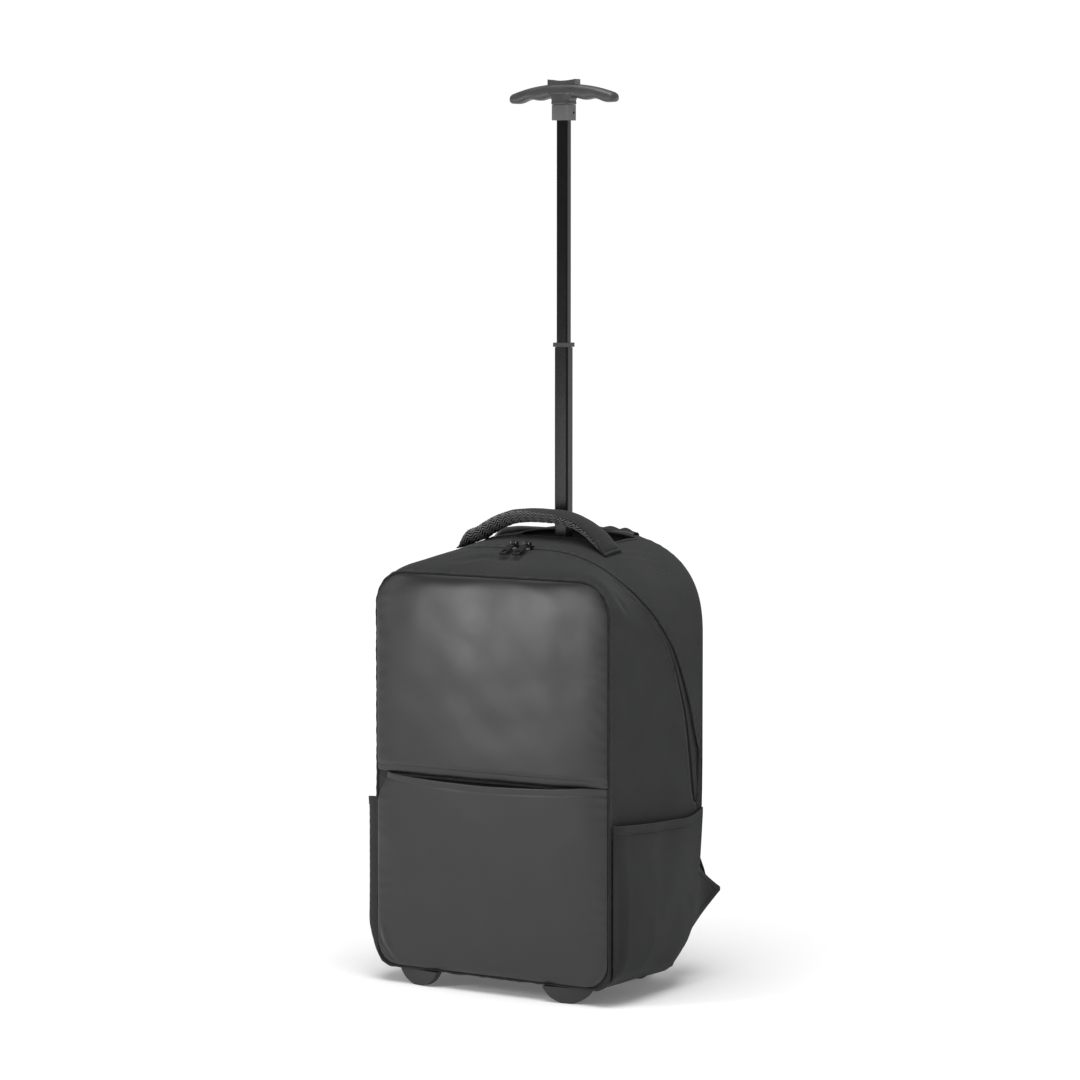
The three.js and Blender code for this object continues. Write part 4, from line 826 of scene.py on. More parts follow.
def panel_half(z):
    """Half the width of the front panels at a height."""

    def corner(radius, into):
        return PANEL_HALF - radius + radius * np.sqrt(1 - limit(into / radius) ** 2)

    return np.minimum(corner(36, z - PANEL_HIGH + 36), corner(28, PANEL_LOW + 28 - z))


def panel_swell(across, z):
    up = limit((PANEL_HIGH - z) / 34)
    down = limit((z - PANEL_LOW) / 26)
    sides = np.sqrt(np.maximum(0, 1 - np.abs(across) ** 5))
    return sides * np.sqrt(1 - (1 - up) ** 2) * np.sqrt(1 - (1 - down) ** 2)


def panel_depth(across, z, seed):
    """How far the padded front stands out, with its long soft waves."""
    swell = panel_swell(across, z)
    place = np.stack((across * PANEL_HALF, 0 * z, z), -1)
    soft = 0.9 * waves(place, 150, seed) + 0.3 * waves(place, 55, seed + 1)
    crown = 5.0 * (1 - across**2) * (1 - ((z - 255) / 235) ** 2)
    rim = PANEL_HALF * (1 - np.abs(across))
    pull = 0.5 * np.sin(z * 2 * math.pi / 17 + 2.5 * waves(place, 80, seed + 2)) * np.exp(-rim / 9)
    tucks = 2.2 * folds(place, PANEL_TUCKS, 4.0) * ease(swell * 2)
    return mix(2.3, 6.5, swell) + (soft + pull + crown) * ease(swell * 1.2) + tucks


PANEL_ACROSS = np.sin(np.linspace(-1, 1, 150) * math.pi / 2) * 0.35 + np.linspace(-1, 1, 150) * 0.65


def upper_panel():
    heights = np.concatenate((np.linspace(SLIT_HEIGHT, 262, 22), np.linspace(264, PANEL_HIGH, 92)))
    a, z = np.meshgrid(PANEL_ACROSS, heights)
    hem = np.minimum(1, 0.62 + (z - SLIT_HEIGHT) / 30)
    seam = 0.45 * np.exp(-(((z - SLIT_HEIGHT - 7) / 1.3) ** 2))
    depth = panel_depth(a, z, 41) * hem - seam
    line = np.stack((a * PANEL_FACE, 0 * z, 0 * z), -1)
    wave = 0.5 * waves(line, 70, 44) * np.exp(-(z - SLIT_HEIGHT) / 20)
    front = np.stack((a * panel_half(z), RIM_Y - depth, z + wave * (np.abs(a) < 0.98)), -1)
    steps = ((0.9, -0.35), (1.8, 0.1), (2.0, 1.2), (2.0, 10.0))
    under = turned_under(front[0], steps, RIM_Y - 0.4)
    part = Part()
    part.grid(np.concatenate((under[::-1], front)))
    thing = part.build("upper_front_panel", COATED_LOOK)
    return settle(thing, "bag", "coated_cloth", "panel_upper")


def lip_height(across):
    """The pocket's lip gapes under the upper panel, most a little left of the middle."""
    gape = 6.5 * np.maximum(0, 1 - ((across + 0.1) / 0.9) ** 2) + 0.6
    line = np.stack((across * PANEL_FACE, 0 * across, 0 * across), -1)
    return SLIT_HEIGHT - gape + 0.35 * waves(line, 60, 51)


def lower_panel():
    shares = np.concatenate((np.linspace(0, 0.86, 84), np.linspace(0.865, 1, 26)))
    a, t = np.meshgrid(PANEL_ACROSS, shares)
    z = mix(PANEL_LOW, lip_height(a), t)
    half = panel_half(z)
    turned = 14.0 * limit((z - 201) / 31) ** 1.3 * (a < 0)
    x = a * half + turned * np.abs(a) ** 6
    place = np.stack((a * PANEL_FACE, 0 * z, z), -1)
    lip = np.exp(-(lip_height(a) - z) / 7)
    seam = 0.4 * np.exp(-(((lip_height(a) - z - 6.5) / 1.3) ** 2))
    slump = 1.2 * waves(place, 90, 55) * np.exp(-(SLIT_HEIGHT - z) / 45) * limit((1 - np.abs(a)) * 6)
    depth = panel_depth(a, z, 45) + 0.8 * lip + slump - seam
    front = np.stack((x, RIM_Y - depth, z), -1)
    steps = ((0.8, 0.3), (1.6, 0.0), (1.9, -1.0), (1.9, -14.0))
    under = turned_under(front[-1], steps, RIM_Y - 1.5)
    part = Part()
    part.grid(np.concatenate((front, under)))
    thing = part.build("lower_front_panel", COATED_LOOK)
    return settle(thing, "bag", "coated_cloth", "panel_lower")


def slit_zip():
    """Tape and a row of coil teeth behind the slit."""
    x = np.arange(-136, 136.01, 0.45)
    z = np.array([222, 226, 229.0, 229.6, 230.4, 231.2, 231.9, 232.5, 234.6, 235.7])
    form = np.array([0, 0, 0, 0.6, 1, 1, 0.6, 0, 0, 0])
    xx, zz = np.meshgrid(x, z)
    turn = np.sin(xx * 2 * math.pi / 2.4)
    teeth = 0.55 + 0.45 * np.sign(turn) * np.abs(turn) ** 0.5
    y = RIM_Y - 0.7 - 1.7 * form[:, None] * teeth
    part = Part()
    part.grid(np.stack((xx, y, zz), -1), kind=np.where(form[:, None] > 0, 1, 0) + 0 * xx.astype(int))
    thing = part.build("slit_zip_tape", TAPE_LOOK, COIL_LOOK)
    return settle(thing, "bag", "zip_tape", "slit_zip")


def pocket_point(side, c, r, more):
    """A point of a side pocket at a share of its depth and of its height."""
    bulge, lift = (19.0, 8.0) if side < 0 else (10.0, 0.0)
    top = 187 + 9 * (1 - c) ** 1.5 + 8 * np.maximum(0, (c - 0.75) / 0.25) ** 2 + lift * (1 - c) ** 2
    z = mix(26.0, top, r)
    lows = bottom_z(np.linspace(0, DEPTH, 300))
    rise = np.maximum(z - BOTTOM_CORNER, FLOOR + 0.05)
    end = np.minimum(np.interp(rise, lows, np.linspace(0, DEPTH, 300)) - 2, DEPTH - BACK_ROUND)
    s = mix(2.0, end, c)
    across = np.where(c < 0.09, (c / 0.09) ** 0.3, limit((1 - c) / 0.6) ** 0.7)
    up = np.sin(limit(r / 0.25) * math.pi / 2)
    close = 1 - 0.55 * ease((r - 0.55) / 0.45) * (side > 0)
    proud = bulge * across * up * close
    drop = limit((bottom_z(s) + BOTTOM_CORNER - z) / BOTTOM_CORNER)
    wall = HALF - BOTTOM_CORNER * (1 - np.sqrt(1 - drop**2)) + 0.5
    x = side * (wall + proud + more)
    return np.stack((x, RIM_Y + s, z), -1)


def side_pocket(side, name):
    heights = np.concatenate((np.linspace(0, 0.93, 90), np.linspace(0.932, 1, 26)))
    c, r = np.meshgrid(np.linspace(0, 1, 110), heights)
    base = pocket_point(side, c, r, 0.0)
    top = pocket_point(side, c, np.ones_like(r), 0.0)[..., 2]
    below = top - base[..., 2]
    edge = np.minimum(np.minimum(c * 180, (1 - c) * 180), r * 160)
    held = 1 - np.exp(-edge / 10)
    seed = 61 if side < 0 else 71
    soft = (0.9 * waves(base, 95, seed) + 0.16 * waves(base, 38, seed + 1) + 0.4) * held
    hem = 0.9 * ease((9.0 - below) / 1.2) - 0.5 * np.exp(-(((below - 8.6) / 0.9) ** 2))
    phase = base[..., 2] * 2 * math.pi / 10 + 3 * waves(base, 60, seed + 2)
    pucker = 0.3 * np.sin(phase) * np.exp(-edge / 5)
    outside = pocket_point(side, c, r, 1.8 + np.maximum(soft + hem + pucker, -1.2) * ease(edge / 3))
    lip = []
    for inward, drop in ((0.8, -0.5), (1.9, 0.2), (2.6, 1.2), (2.6, 12.0)):
        row = outside[-1].copy()
        row[:, 0] = side * np.maximum(np.abs(row[:, 0]) - inward, HALF + 0.3)
        row[:, 2] -= drop
        lip.append(row)
    part = Part()
    part.grid(np.concatenate((outside, np.stack(lip))), flip=side < 0)
    thing = part.build(name, CLOTH_LOOK)
    settle(thing, "bag", "cloth", "side_pocket_left" if side < 0 else "side_pocket_right")
    line = pocket_point(side, np.linspace(0.02, 0.98, 200), 0.0 + np.ones(200), 3.2)
    line[:, 2] -= 8.6
    return line


def stow_lining():
    """The black pocket in the top that the folded handle sits in."""
    side = np.linspace(-1, 1, 40)
    wide, short = side * STOW_SIDE, np.full(20, STOW_SIDE)
    xs = np.concatenate((wide, short, -wide, -short))
    back = np.linspace(STOW_FRONT_Y, STOW_REAR_Y, 20)
    front = np.linspace(STOW_REAR_Y, STOW_FRONT_Y, 20)
    ys = np.concatenate((np.full(40, STOW_FRONT_Y), back, np.full(40, STOW_REAR_Y), front))
    rim = surface_z(xs, ys - RIM_Y) - 1.2
    rows = [np.stack((xs, ys, mix(STOW_FLOOR, rim, t)), -1) for t in np.linspace(0, 1, 14)]
    walls = np.stack(rows)
    sag = waves(walls, 42, 81) * 1.1 * np.sin(np.linspace(0, math.pi, 14))[:, None]
    centre = np.array([0, 14.0, 0])
    inwards = centre - walls
    inwards[..., 2] = 0
    inwards /= np.linalg.norm(inwards, axis=-1, keepdims=True)
    walls = walls + inwards * np.abs(sag)[..., None]
    part = Part()
    part.grid(walls, wrap=True, flip=True)
    across = np.linspace(-STOW_SIDE, STOW_SIDE, 50)
    fx, fy = np.meshgrid(across, np.linspace(STOW_FRONT_Y, STOW_REAR_Y, 30))
    part.grid(np.stack((fx, fy, 0 * fx + STOW_FLOOR), -1))
    thing = part.build("handle_pocket_lining", LINING_LOOK)
    cut_box(thing, (-10.6, 9.4, 420), (10.6, 26.6, 436))
    return settle(thing, "bag", "lining", "handle_pocket")


def tube_along(line, radius, sides=10, closed=False):
    """A grid of rings round a line of points."""
    line = np.asarray(line, float)
    if closed:
        tangent = np.roll(line, -1, 0) - np.roll(line, 1, 0)
    else:
        tangent = np.gradient(line, axis=0)
    tangent /= np.maximum(np.linalg.norm(tangent, axis=1, keepdims=True), 1e-9)
    up = np.tile(np.array([0.0, 0.0, 1.0]), (len(line), 1))
    steep = np.abs(tangent[:, 2]) > 0.9
    up[steep] = (0, 1, 0)
    side = np.cross(tangent, up)
    side /= np.linalg.norm(side, axis=1, keepdims=True)
    up = np.cross(side, tangent)
    angle = np.linspace(0, 2 * math.pi, sides, endpoint=False)
    radius = np.broadcast_to(radius, len(line))[:, None, None]
    ring = np.cos(angle)[None, :, None] * side[:, None] + np.sin(angle)[None, :, None] * up[:, None]
    return line[:, None] + ring * radius


def stow_binding():
    """Narrow binding round the pocket's mouth."""
    xs, ys = [], []
    for a, b, turn in ((77.4, 50.4, 0), (-77.4, 50.4, 90), (-77.4, -22.4, 180), (77.4, -22.4, 270)):
        angle = np.radians(turn + np.linspace(0, 90, 8))
        xs.append(a - 4 * np.sign(a) + 4 * np.cos(angle))
        ys.append(b - 4 * (1 if b > 0 else -1) + 4 * np.sin(angle))
    corners = np.stack((np.concatenate(xs), np.concatenate(ys)), -1)
    nexts = np.roll(corners, -1, 0)
    spread = [mix(a, b, t) for a, b in zip(corners, nexts) for t in np.linspace(0, 1, 8, endpoint=False)]
    line = np.array(spread)
    z = surface_z(line[:, 0], line[:, 1] - RIM_Y) - 0.4
    line = np.column_stack((line, z))
    line[:, 2] += 0.35 * waves(line, 22, 83)
    rings = tube_along(line, 1.7, 10, closed=True)
    part = Part()
    part.grid(np.swapaxes(rings, 0, 1), wrap=True)
    part.grid(np.stack((rings[:, -1], rings[:, 0])), wrap=True)
    thing = part.build("handle_pocket_binding", BINDING_LOOK)
    return settle(thing, "bag", "cloth")


def stow_collar():
    """A low standing wall of cloth behind and left of the pocket's mouth; its top band is painted lighter
    for the light that falls on it.
    """
    corner = np.radians(np.linspace(180, 90, 14))
    left = np.stack((np.full(30, -80.5), np.linspace(-6, 44, 30)), -1)
    bend = np.stack((-72.5 + 8 * np.cos(corner), 45 + 8 * np.sin(corner)), -1)
    rear = np.stack((np.linspace(-70, 70, 70), np.full(70, 53.0)), -1)
    line = np.concatenate((left, bend, rear))
    base = surface_z(line[:, 0], line[:, 1] - RIM_Y)
    along = np.linspace(0, 1, len(line))
    tall = 9.5 * ease(along / 0.12) * mix(1.0, 0.3, ease((along - 0.5) / 0.35))
    level = np.minimum(base + tall, 497.5 - 1.5 * along)
    tangent = np.gradient(line, axis=0)
    out = np.stack((-tangent[:, 1], tangent[:, 0]), -1)
    out /= np.linalg.norm(out, axis=1, keepdims=True)
    form = [(0, 0.9), (0.4, 0.9), (0.42, 1.4), (0.9, 1.4), (1.0, 0.6)]
    form += [(1.0, -0.6), (0.9, -1.4), (0.42, -1.4), (0.4, -0.9), (0, -0.9)]
    rows, hem = [], []
    for share, side in form:
        z = mix(base - 1.5, level, share)
        soft = 0.25 * waves(np.column_stack((line, z)), 40, 87) * share
        rows.append(np.column_stack((line + out * (side + soft[:, None]), z)))
        # Rows above 0.41 of the height take the lighter hem cloth, painted light on the top band; the rest
        # take the lining cloth.
        hem.append(np.full(len(line), 1 if share > 0.41 else 0))
    part = Part()
    part.grid(np.stack(rows), kind=np.stack(hem))
    thing = part.build("handle_pocket_collar", LINING_LOOK, LIT_HEM_LOOK)
    return settle(thing, "bag", "cloth")


def flap():
    """The cover, turned back over the rear edge in soft ripples and hanging behind."""
    across = np.linspace(-1, 1, 150)
    x = across * 64
    line = np.stack((x, 0 * x, 0 * x), -1)
    ripple = 0.5 * (1 + np.sin(across * 19 + 1.2 * waves(line, 60, 86)))
    ripple *= ease((across - 0.05) / 0.3) * ease((0.97 - across) / 0.15)
    ripple += 0.12 * (1 + np.sin(across * 9))
    seat = np.maximum(surface_z(x, 179.0), surface_z(x, DEPTH - BACK_ROUND)) + 0.8
    top = surface_z(x, DEPTH) + 0.8
    lift = 2.6 * ripple
    hem = 0.6 * np.sin(across * 14)
    stations = [
        (54.0 + 0 * x, seat),
        (58.0 + 0 * x, seat + lift * 0.6),
        (65.0 + 0 * x, top + lift),
        (71.0 + 0 * x, top + lift * 0.7 - 0.6),
        (73.2 + lift * 0.25, top - 4.0 + lift * 0.2),
        (73.0 + lift * 0.3, top - 24.0),
        (72.8 + lift * 0.2, top - 43.0 + hem),
    ]
    knots = np.stack([np.stack((x, y, z), -1) for y, z in stations])
    t = np.linspace(0, 1, 64)
    length = np.array([0, 4, 11.5, 18, 23.5, 43.5, 62.5]) / 62.5
    axes = []
    for axis in range(3):
        table = [np.concatenate(([where], knots[i, :, axis])) for i, where in enumerate(length)]
        axes.append(np.stack([read(table, 1 + column, t) for column in range(len(x))], 1))
    points = np.stack(axes, -1)
    part = Part()
    part.grid(points, flip=True)
    thing = part.build("pocket_cover", CLOTH_LOOK)
    modify(thing, "SOLIDIFY", thickness=1.2 * MM, offset=0.0)
    return settle(thing, "bag", "cloth", "handle_pocket_flap")


def handle_frame(t):
    """Middle, slope, thickness and width of the grab handle along it, t from -1 to 1."""
    x = HANDLE_HALF * t
    from_end = 1 - np.abs(t)
    foot = surface_z(HANDLE_HALF, HANDLE_AT) + 0.3
    seat = surface_z(x, HANDLE_AT + HANDLE_REAR) + 0.3
    run = np.where(t < 0, 0.09, 0.15)
    thick = mix(3.2, 14.2, limit((from_end - 0.04) / run) ** 0.55)
    wide = 27 + 6 * (1 - limit(from_end / 0.3))
    arch = mix(foot, TOP + 20, read(HANDLE_LINE, 1, t))
    flat = seat + thick / 2
    z = np.maximum(mix(flat, arch, limit(from_end / 0.1)), flat)
    slope = np.arctan2(np.gradient(z), np.gradient(x))
    return x, z, slope, thick, wide


def handle_ring(t, angle, more=0.0):
    """Points of the handle's skin; its flat ends follow the bag's top under them."""
    x, z, slope, thick, wide = handle_frame(t)
    c, s = np.cos(angle), np.sin(angle)
    up = np.sign(s) * np.abs(s) ** 0.9 * (thick[:, None] / 2 + more)
    back = np.sign(c) * np.abs(c) ** 0.85 * (wide[:, None] / 2 + more)
    x = x[:, None] + 0 * back
    bed = surface_z(x[:, 0], HANDLE_AT + HANDLE_REAR)[:, None]
    seat = surface_z(x, HANDLE_AT + back) - bed
    hold = 1 - ease(((1 - np.abs(t)) / 0.2))[:, None]
    z = z[:, None] + up * np.cos(slope)[:, None] + seat * hold
    return np.stack((x - up * np.sin(slope)[:, None], RIM_Y + HANDLE_AT + back, z), -1)


def grab_handle():
    """A padded arch: cloth over its top and back, herringbone mesh under its front and underside."""
    t = np.linspace(-1, 1, 420)
    angle = np.radians(np.linspace(0, 360, 97)[:-1])
    degrees = np.degrees(angle)[None] + 0 * t[:, None]
    top_edge = mix(122.0, 186.0, ease((t + 0.7) / 1.8))[:, None]
    mesh = (degrees > top_edge) & (degrees < 348)
    along = HANDLE_HALF * t[:, None] * 1.12 + 0 * angle
    girth = angle[None] * 10.5 + 0 * t[:, None]
    bend = np.abs((along / HERRINGBONE_TURN) % 2 - 1) * HERRINGBONE_TURN
    bend = HERRINGBONE_TURN - bend
    bars = np.sin((girth + bend) * 2 * math.pi / HERRINGBONE_BAR)
    ends = limit((1 - np.abs(t)) / 0.08)[:, None]
    flat = np.stack((along, girth, 0 * girth), -1)
    knit = np.where(mesh, 0.9 * bars, 0.45 + 0.2 * waves(flat, 22, 91)) * ends
    points = handle_ring(t, np.broadcast_to(angle, knit.shape), knit)
    part = Part()
    uv = (girth, along + HERRINGBONE_TURN * 48)
    part.rod(points, kind=mesh.astype(int), flip=True, uv=uv)
    thing = part.build("grab_handle_cover", CLOTH_LOOK, HERRINGBONE_LOOK)
    settle(thing, "bag", "cloth", "grab_handle")
    lines = []
    for edge in (np.radians(top_edge - 7), np.full_like(top_edge, np.radians(355))):
        lines.append(handle_ring(t, edge, 0.6)[25:-25, 0])
    return lines


def pad_path(z):
    return np.interp(z, bottom_z(np.linspace(0, DEPTH, 400)), np.linspace(0, DEPTH, 400))


def back_pad():
    """The padded back: two columns of cushions with sewn channels between them."""
    z = np.linspace(77.4, 435, 150)
    a = np.linspace(-1, 1, 121)
    aa, zz = np.meshgrid(a, z)
    half = 118 - 14 * limit((zz - 268) / (435 - 268)) ** 2
    depth = pad_path(zz) + RIM_Y
    groove = np.abs(aa)
    puff = (1 - np.abs(2 * groove - 1) ** 6).clip(0, 1) ** 0.5
    rows = [77.4, 160, 245, 335, 435]
    level = np.zeros_like(zz)
    for low, high in zip(rows[:-1], rows[1:]):
        share = limit((zz - low) / (high - low))
        pillow = (1 - np.abs(2 * share - 1) ** 7) ** 0.5
        level = np.maximum(level, np.where((zz >= low) & (zz <= high), pillow, 0))
    place = np.stack((aa * half, 0 * zz, zz), -1)
    thick = 1.6 + 7.2 * puff * level + 0.4 * waves(place, 60, 95) * puff * level
    slope_y = np.gradient(depth, z, axis=0)
    size = np.sqrt(1 + slope_y**2)
    y = depth + 0.6 + thick / size
    zo = zz - thick * slope_y / size
    points = np.stack((aa * half, y, zo), -1)
    rim = np.stack((aa * half, depth + 0.3, zz), -1)
    part = Part()
    part.grid(points, flip=True)
    part.grid(np.stack((border_of(points), border_of(rim))), wrap=True)
    thing = part.build("back_cushion", AIR_LOOK)
    return settle(thing, "bag", "padded_mesh", "back_pad")


def strap_line(t):
    """Middle of a shoulder strap at shares of its length."""
    sewn_y = BACK_Y + 0.3 + 4.5
    out = HALF * read(STRAP_LINE, 1, t)
    y = sewn_y + 8.3 * read(STRAP_LINE, 2, t) + 29 * read(STRAP_LINE, 3, t)
    return np.stack((out, y, TOP * read(STRAP_LINE, 4, t)), -1)


def strap_rings(middles, width, thick, side, power=0.5):
    """Rounded flat sections along a line that runs down in y and z."""
    dy, dz = np.gradient(middles[:, 1]), np.gradient(middles[:, 2])
    size = np.hypot(dy, dz)
    angle = np.linspace(0, 2 * math.pi, 49)[:-1]
    c, s = np.cos(angle), np.sin(angle)
    across = np.sign(c) * np.abs(c) ** power
    through = np.sign(s) * np.abs(s) ** 0.9
    a = across[None] * width[:, None] / 2
    b = through[None] * thick[:, None] / 2
    x = side * (middles[:, :1] + a)
    y = middles[:, 1:2] - b * (dz / size)[:, None]
    z = middles[:, 2:] + b * (dy / size)[:, None]
    return np.stack((x, y, z), -1)


def shoulder_strap(side, name):
    t = np.linspace(0, 1, 150)
    middles = strap_line(t)
    sewn = middles[:1] + np.array([[0, 0, 1]]) * np.linspace(6, 0.6, 8)[:, None]
    middles = np.concatenate((sewn, middles))
    share = np.concatenate((np.zeros(8), t))
    width = 60 * (1 - 0.28 * share**3)
    row = np.arange(len(share))
    ends = np.minimum(limit(row / 10), limit((len(share) - 1 - row) / 6))
    thick = mix(5.0, 9.0, ease(ends)) + 0.3 * waves(middles, 40, 97)
    points = strap_rings(middles, width, thick, side)
    angle = np.degrees(np.linspace(0, 2 * math.pi, 49)[:-1])
    inner = ((angle > 200) & (angle < 340))[None] | np.zeros((len(share), 1), bool)
    part = Part()
    part.rod(points, flip=side > 0, kind=inner.astype(int))
    thing = part.build(f"strap_{name}", CLOTH_LOOK, AIR_LOOK)
    settle(thing, "bag", "cloth", f"shoulder_strap_{name}")
    binding = Part()
    for edge in (0, 24):
        line = points[4:-3, edge]
        binding.grid(tube_along(line, 1.9, 8), wrap=True)
    bound = binding.build(f"strap_binding_{name}", BINDING_LOOK)
    settle(bound, "bag", "cloth")
    lines = []
    for edge in (4, 20):
        line = points[6:-5, edge]
        lines.append(line + np.array([0, 0.35, 0]))
    return lines


def wing_point(t, v, side, more):
    low = mix(57.0, 91.0, t**1.7)
    high = mix(138.0, 95.0, t**1.15)
    z = mix(low, high, v)
    root = back_y(138.0, z) + 1.0
    bow = 10 * np.sin(t * math.pi * 0.8)
    x = side * (138 + 4 * (1 - t) - bow + more)
    return np.stack((x, mix(root, 133.0, t), z), -1)


def strap_wing(side, name):
    """The triangle of cloth low on each side that holds the strap's webbing."""
    t, v = np.meshgrid(np.linspace(0, 1, 70), np.linspace(0, 1, 50), indexing="ij")
    base = wing_point(t, v, side, 0.0)
    edge = np.minimum(np.minimum(v, 1 - v) * (81 - 77 * t), (1 - t) * 80)
    hem = 0.5 * ease((6.0 - edge) / 1.0) - 0.35 * np.exp(-(((edge - 6.2) / 0.8) ** 2))
    soft = 0.7 * waves(base, 45, 101 + (side > 0))
    outer = wing_point(t, v, side, 2.2 + hem + soft * ease(edge / 10))
    inner = wing_point(t, v, side, 0.4 - 0.5 * hem + soft * ease(edge / 10))
    part = Part()
    part.grid(outer, flip=side < 0)
    part.grid(inner, flip=side > 0)
    part.grid(np.stack((border_of(outer), border_of(inner))), wrap=True, flip=side > 0)
    thing = part.build(f"wing_{name}", CLOTH_LOOK)
    return settle(thing, "bag", "cloth", f"strap_wing_{name}")


def strap_webbing(side, name):
    end = strap_line(np.array([1.0]))[0]
    start = np.array([end[0], end[1], 186.0])
    low = wing_point(np.array(0.8), np.array(0.5), 1, 0.0)
    low[0] -= 10.3
    table = [(0, 0, 0), (0, 0, 0.05), (0.44, 0.2, 0.38), (1, 0.59, 0.8), (1, 1, 1)]
    knots = np.array([[mix(start[i], low[i], row[i]) for i in range(3)] for row in table])
    t = np.linspace(0, 1, 80)
    rows = [np.concatenate(([i / 4], k)) for i, k in enumerate(knots)]
    line = np.stack([read(rows, axis, t) for axis in (1, 2, 3)], -1)
    points = strap_rings(line, np.full(80, 20.0), np.full(80, 1.8), side, 0.25)
    part = Part()
    part.rod(points, flip=side > 0)
    thing = part.build(f"webbing_{name}", WEBBING_LOOK)
    return settle(thing, "bag", "webbing", f"strap_webbing_{name}")


def ladder_lock(name):
    """The plastic buckle: a frame with two slots and a ridged bar."""
    low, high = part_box(f"strap_buckle_{name}")
    low, high = np.array(low) / MM, np.array(high) / MM
    middle = (low + high) / 2
    part = Part()
    bars = [(low[2] + 1.0, 1.4), (middle[2], 1.1), (high[2] - 1.0, 1.4)]
    for z, radius in bars:
        xs = np.linspace(low[0] + 1, high[0] - 1, 40)
        line = np.stack((xs, 0 * xs + middle[1], 0 * xs + z), -1)
        thick = radius * np.minimum(1, 0.5 + (18 - np.abs(xs - middle[0])) / 3)
        part.grid(tube_along(line, thick, 12), wrap=True)
    for x in (low[0] + 1.6, high[0] - 1.6):
        zs = np.linspace(low[2] + 0.4, high[2] - 0.4, 16)
        line = np.stack((0 * zs + x, 0 * zs + middle[1], zs), -1)
        part.grid(tube_along(line, 1.6 + 0.3 * np.sin(np.linspace(0, math.pi, 16)), 12), wrap=True)
    thing = part.build(f"buckle_{name}", PLASTIC_LOOK)
    return settle(thing, "bag", "plastic", f"strap_buckle_{name}")


def grip_top(x):
    return GRIP_BASE + 22 - 11.5 * (np.abs(x) / GRIP_HALF) ** 2.2


def grip_under(x):
    t = np.abs(x) / GRIP_HALF
    arch = 5.2 * np.sin(limit((1 - t) / 0.68) * math.pi / 2)
    return GRIP_BASE + arch + 1.1 * np.cos((t - 0.62) * math.pi * 5.1) * limit((1 - t) / 0.12)


def square_ring(half_x, half_y, count, power):
    angle = np.linspace(0, 2 * math.pi, count, endpoint=False)
    c, s = np.cos(angle), np.sin(angle)
    return np.sign(c) * np.abs(c) ** power * half_x, np.sign(s) * np.abs(s) ** power * half_y


def grip_handle():
    """The T grip: a bar with finger waves that runs into a short neck."""
    x = np.concatenate((-69 + 5 * (1 - np.cos(np.linspace(0, math.pi / 2, 12))), np.linspace(-63.6, 0, 80)))
    x = np.concatenate((x, -x[-2::-1]))
    close = np.sqrt(np.maximum(0, 1 - limit((np.abs(x) - 64) / 5) ** 2)).clip(0.04, 1)
    high, low = grip_top(x), grip_under(x)
    middle, half = (high + low) / 2, (high - low) / 2 * close
    across, up = square_ring(9.0, 1.0, 48, 0.75)
    depth = POLE_Y + across[None] * close[:, None]
    height = middle[:, None] + up[None] * half[:, None]
    points = np.stack((x[:, None] + 0 * up, depth, height), -1)
    part = Part()
    part.rod(points)
    neck = []
    for z, more in ((966.2, 1.6), (967.0, 2.4), (968.8, 2.2), (970.6, 1.7), (974.5, 3.6), (978.2, 5.9)):
        nx, ny = square_ring(9.6 + more, 9.0 + min(more, 1.8), 48, 0.4)
        neck.append(np.stack((nx, POLE_Y + ny, 0 * nx + z), -1))
    neck = np.stack(neck)
    part.grid(neck, wrap=True)
    part.fan(neck[0], (0, POLE_Y, 966.2), flip=True)
    part.fan(neck[-1], (0, POLE_Y, 978.2))
    thing = part.build("grip_cover", PLASTIC_LOOK)
    modify(thing, "REMESH", mode="VOXEL", voxel_size=0.0007, use_smooth_shade=True)
    modify(thing, "SMOOTH", factor=0.5, iterations=2)
    apply_modifiers(thing)
    well = rounded_block((-18.4, 12.1, 978.6), (18.4, 23.9, 1000.0), "well")
    modify(thing, "BOOLEAN", object=well, operation="DIFFERENCE", solver="EXACT")
    apply_modifiers(thing)
    bpy.data.objects.remove(well)
    return settle(thing, "upper_stage", "plastic", "grip")


def rounded_block(low, high, name):
    """A block with a bevelled outline, used as a cutter."""
    work = bmesh.new()
    made = bmesh.ops.create_cube(work, size=1.0)
    low, high = Vector(low) * MM, Vector(high) * MM
    for v in made["verts"]:
        v.co = Vector([mix(low[i], high[i], v.co[i] + 0.5) for i in range(3)])
    bmesh.ops.bevel(work, geom=work.edges[:], offset=1.2 * MM, segments=3, affect="EDGES")
    mesh = bpy.data.meshes.new(name)
    work.to_mesh(mesh)
    work.free()
    thing = bpy.data.objects.new(name, mesh)
    bpy.context.scene.collection.objects.link(thing)
    return thing


def stitch_grid(starts, ends, radius):
    """Small thread capsules from starts to ends."""
    way = ends - starts
    size = np.linalg.norm(way, axis=1, keepdims=True)
    way = way / size
    helper = np.where(np.abs(way[:, 2:]) > 0.8, (0.0, 1.0, 0.0), (0.0, 0.0, 1.0))
    side = np.cross(way, helper)
    side /= np.linalg.norm(side, axis=1, keepdims=True)
    up = np.cross(side, way)
    along = np.array([0.0, 0.12, 0.5, 0.88, 1.0])
    girth = np.array([0.15, 0.8, 1.0, 0.8, 0.15]) * radius
    angle = np.linspace(0, 2 * math.pi, 6, endpoint=False)
    ring = np.cos(angle)[None, :, None] * side[:, None] + np.sin(angle)[None, :, None] * up[:, None]
    middle = starts[:, None] + (along[None, :, None] * size[:, None]) * way[:, None]
    return middle[:, :, None] + girth[None, :, None, None] * ring[:, None]


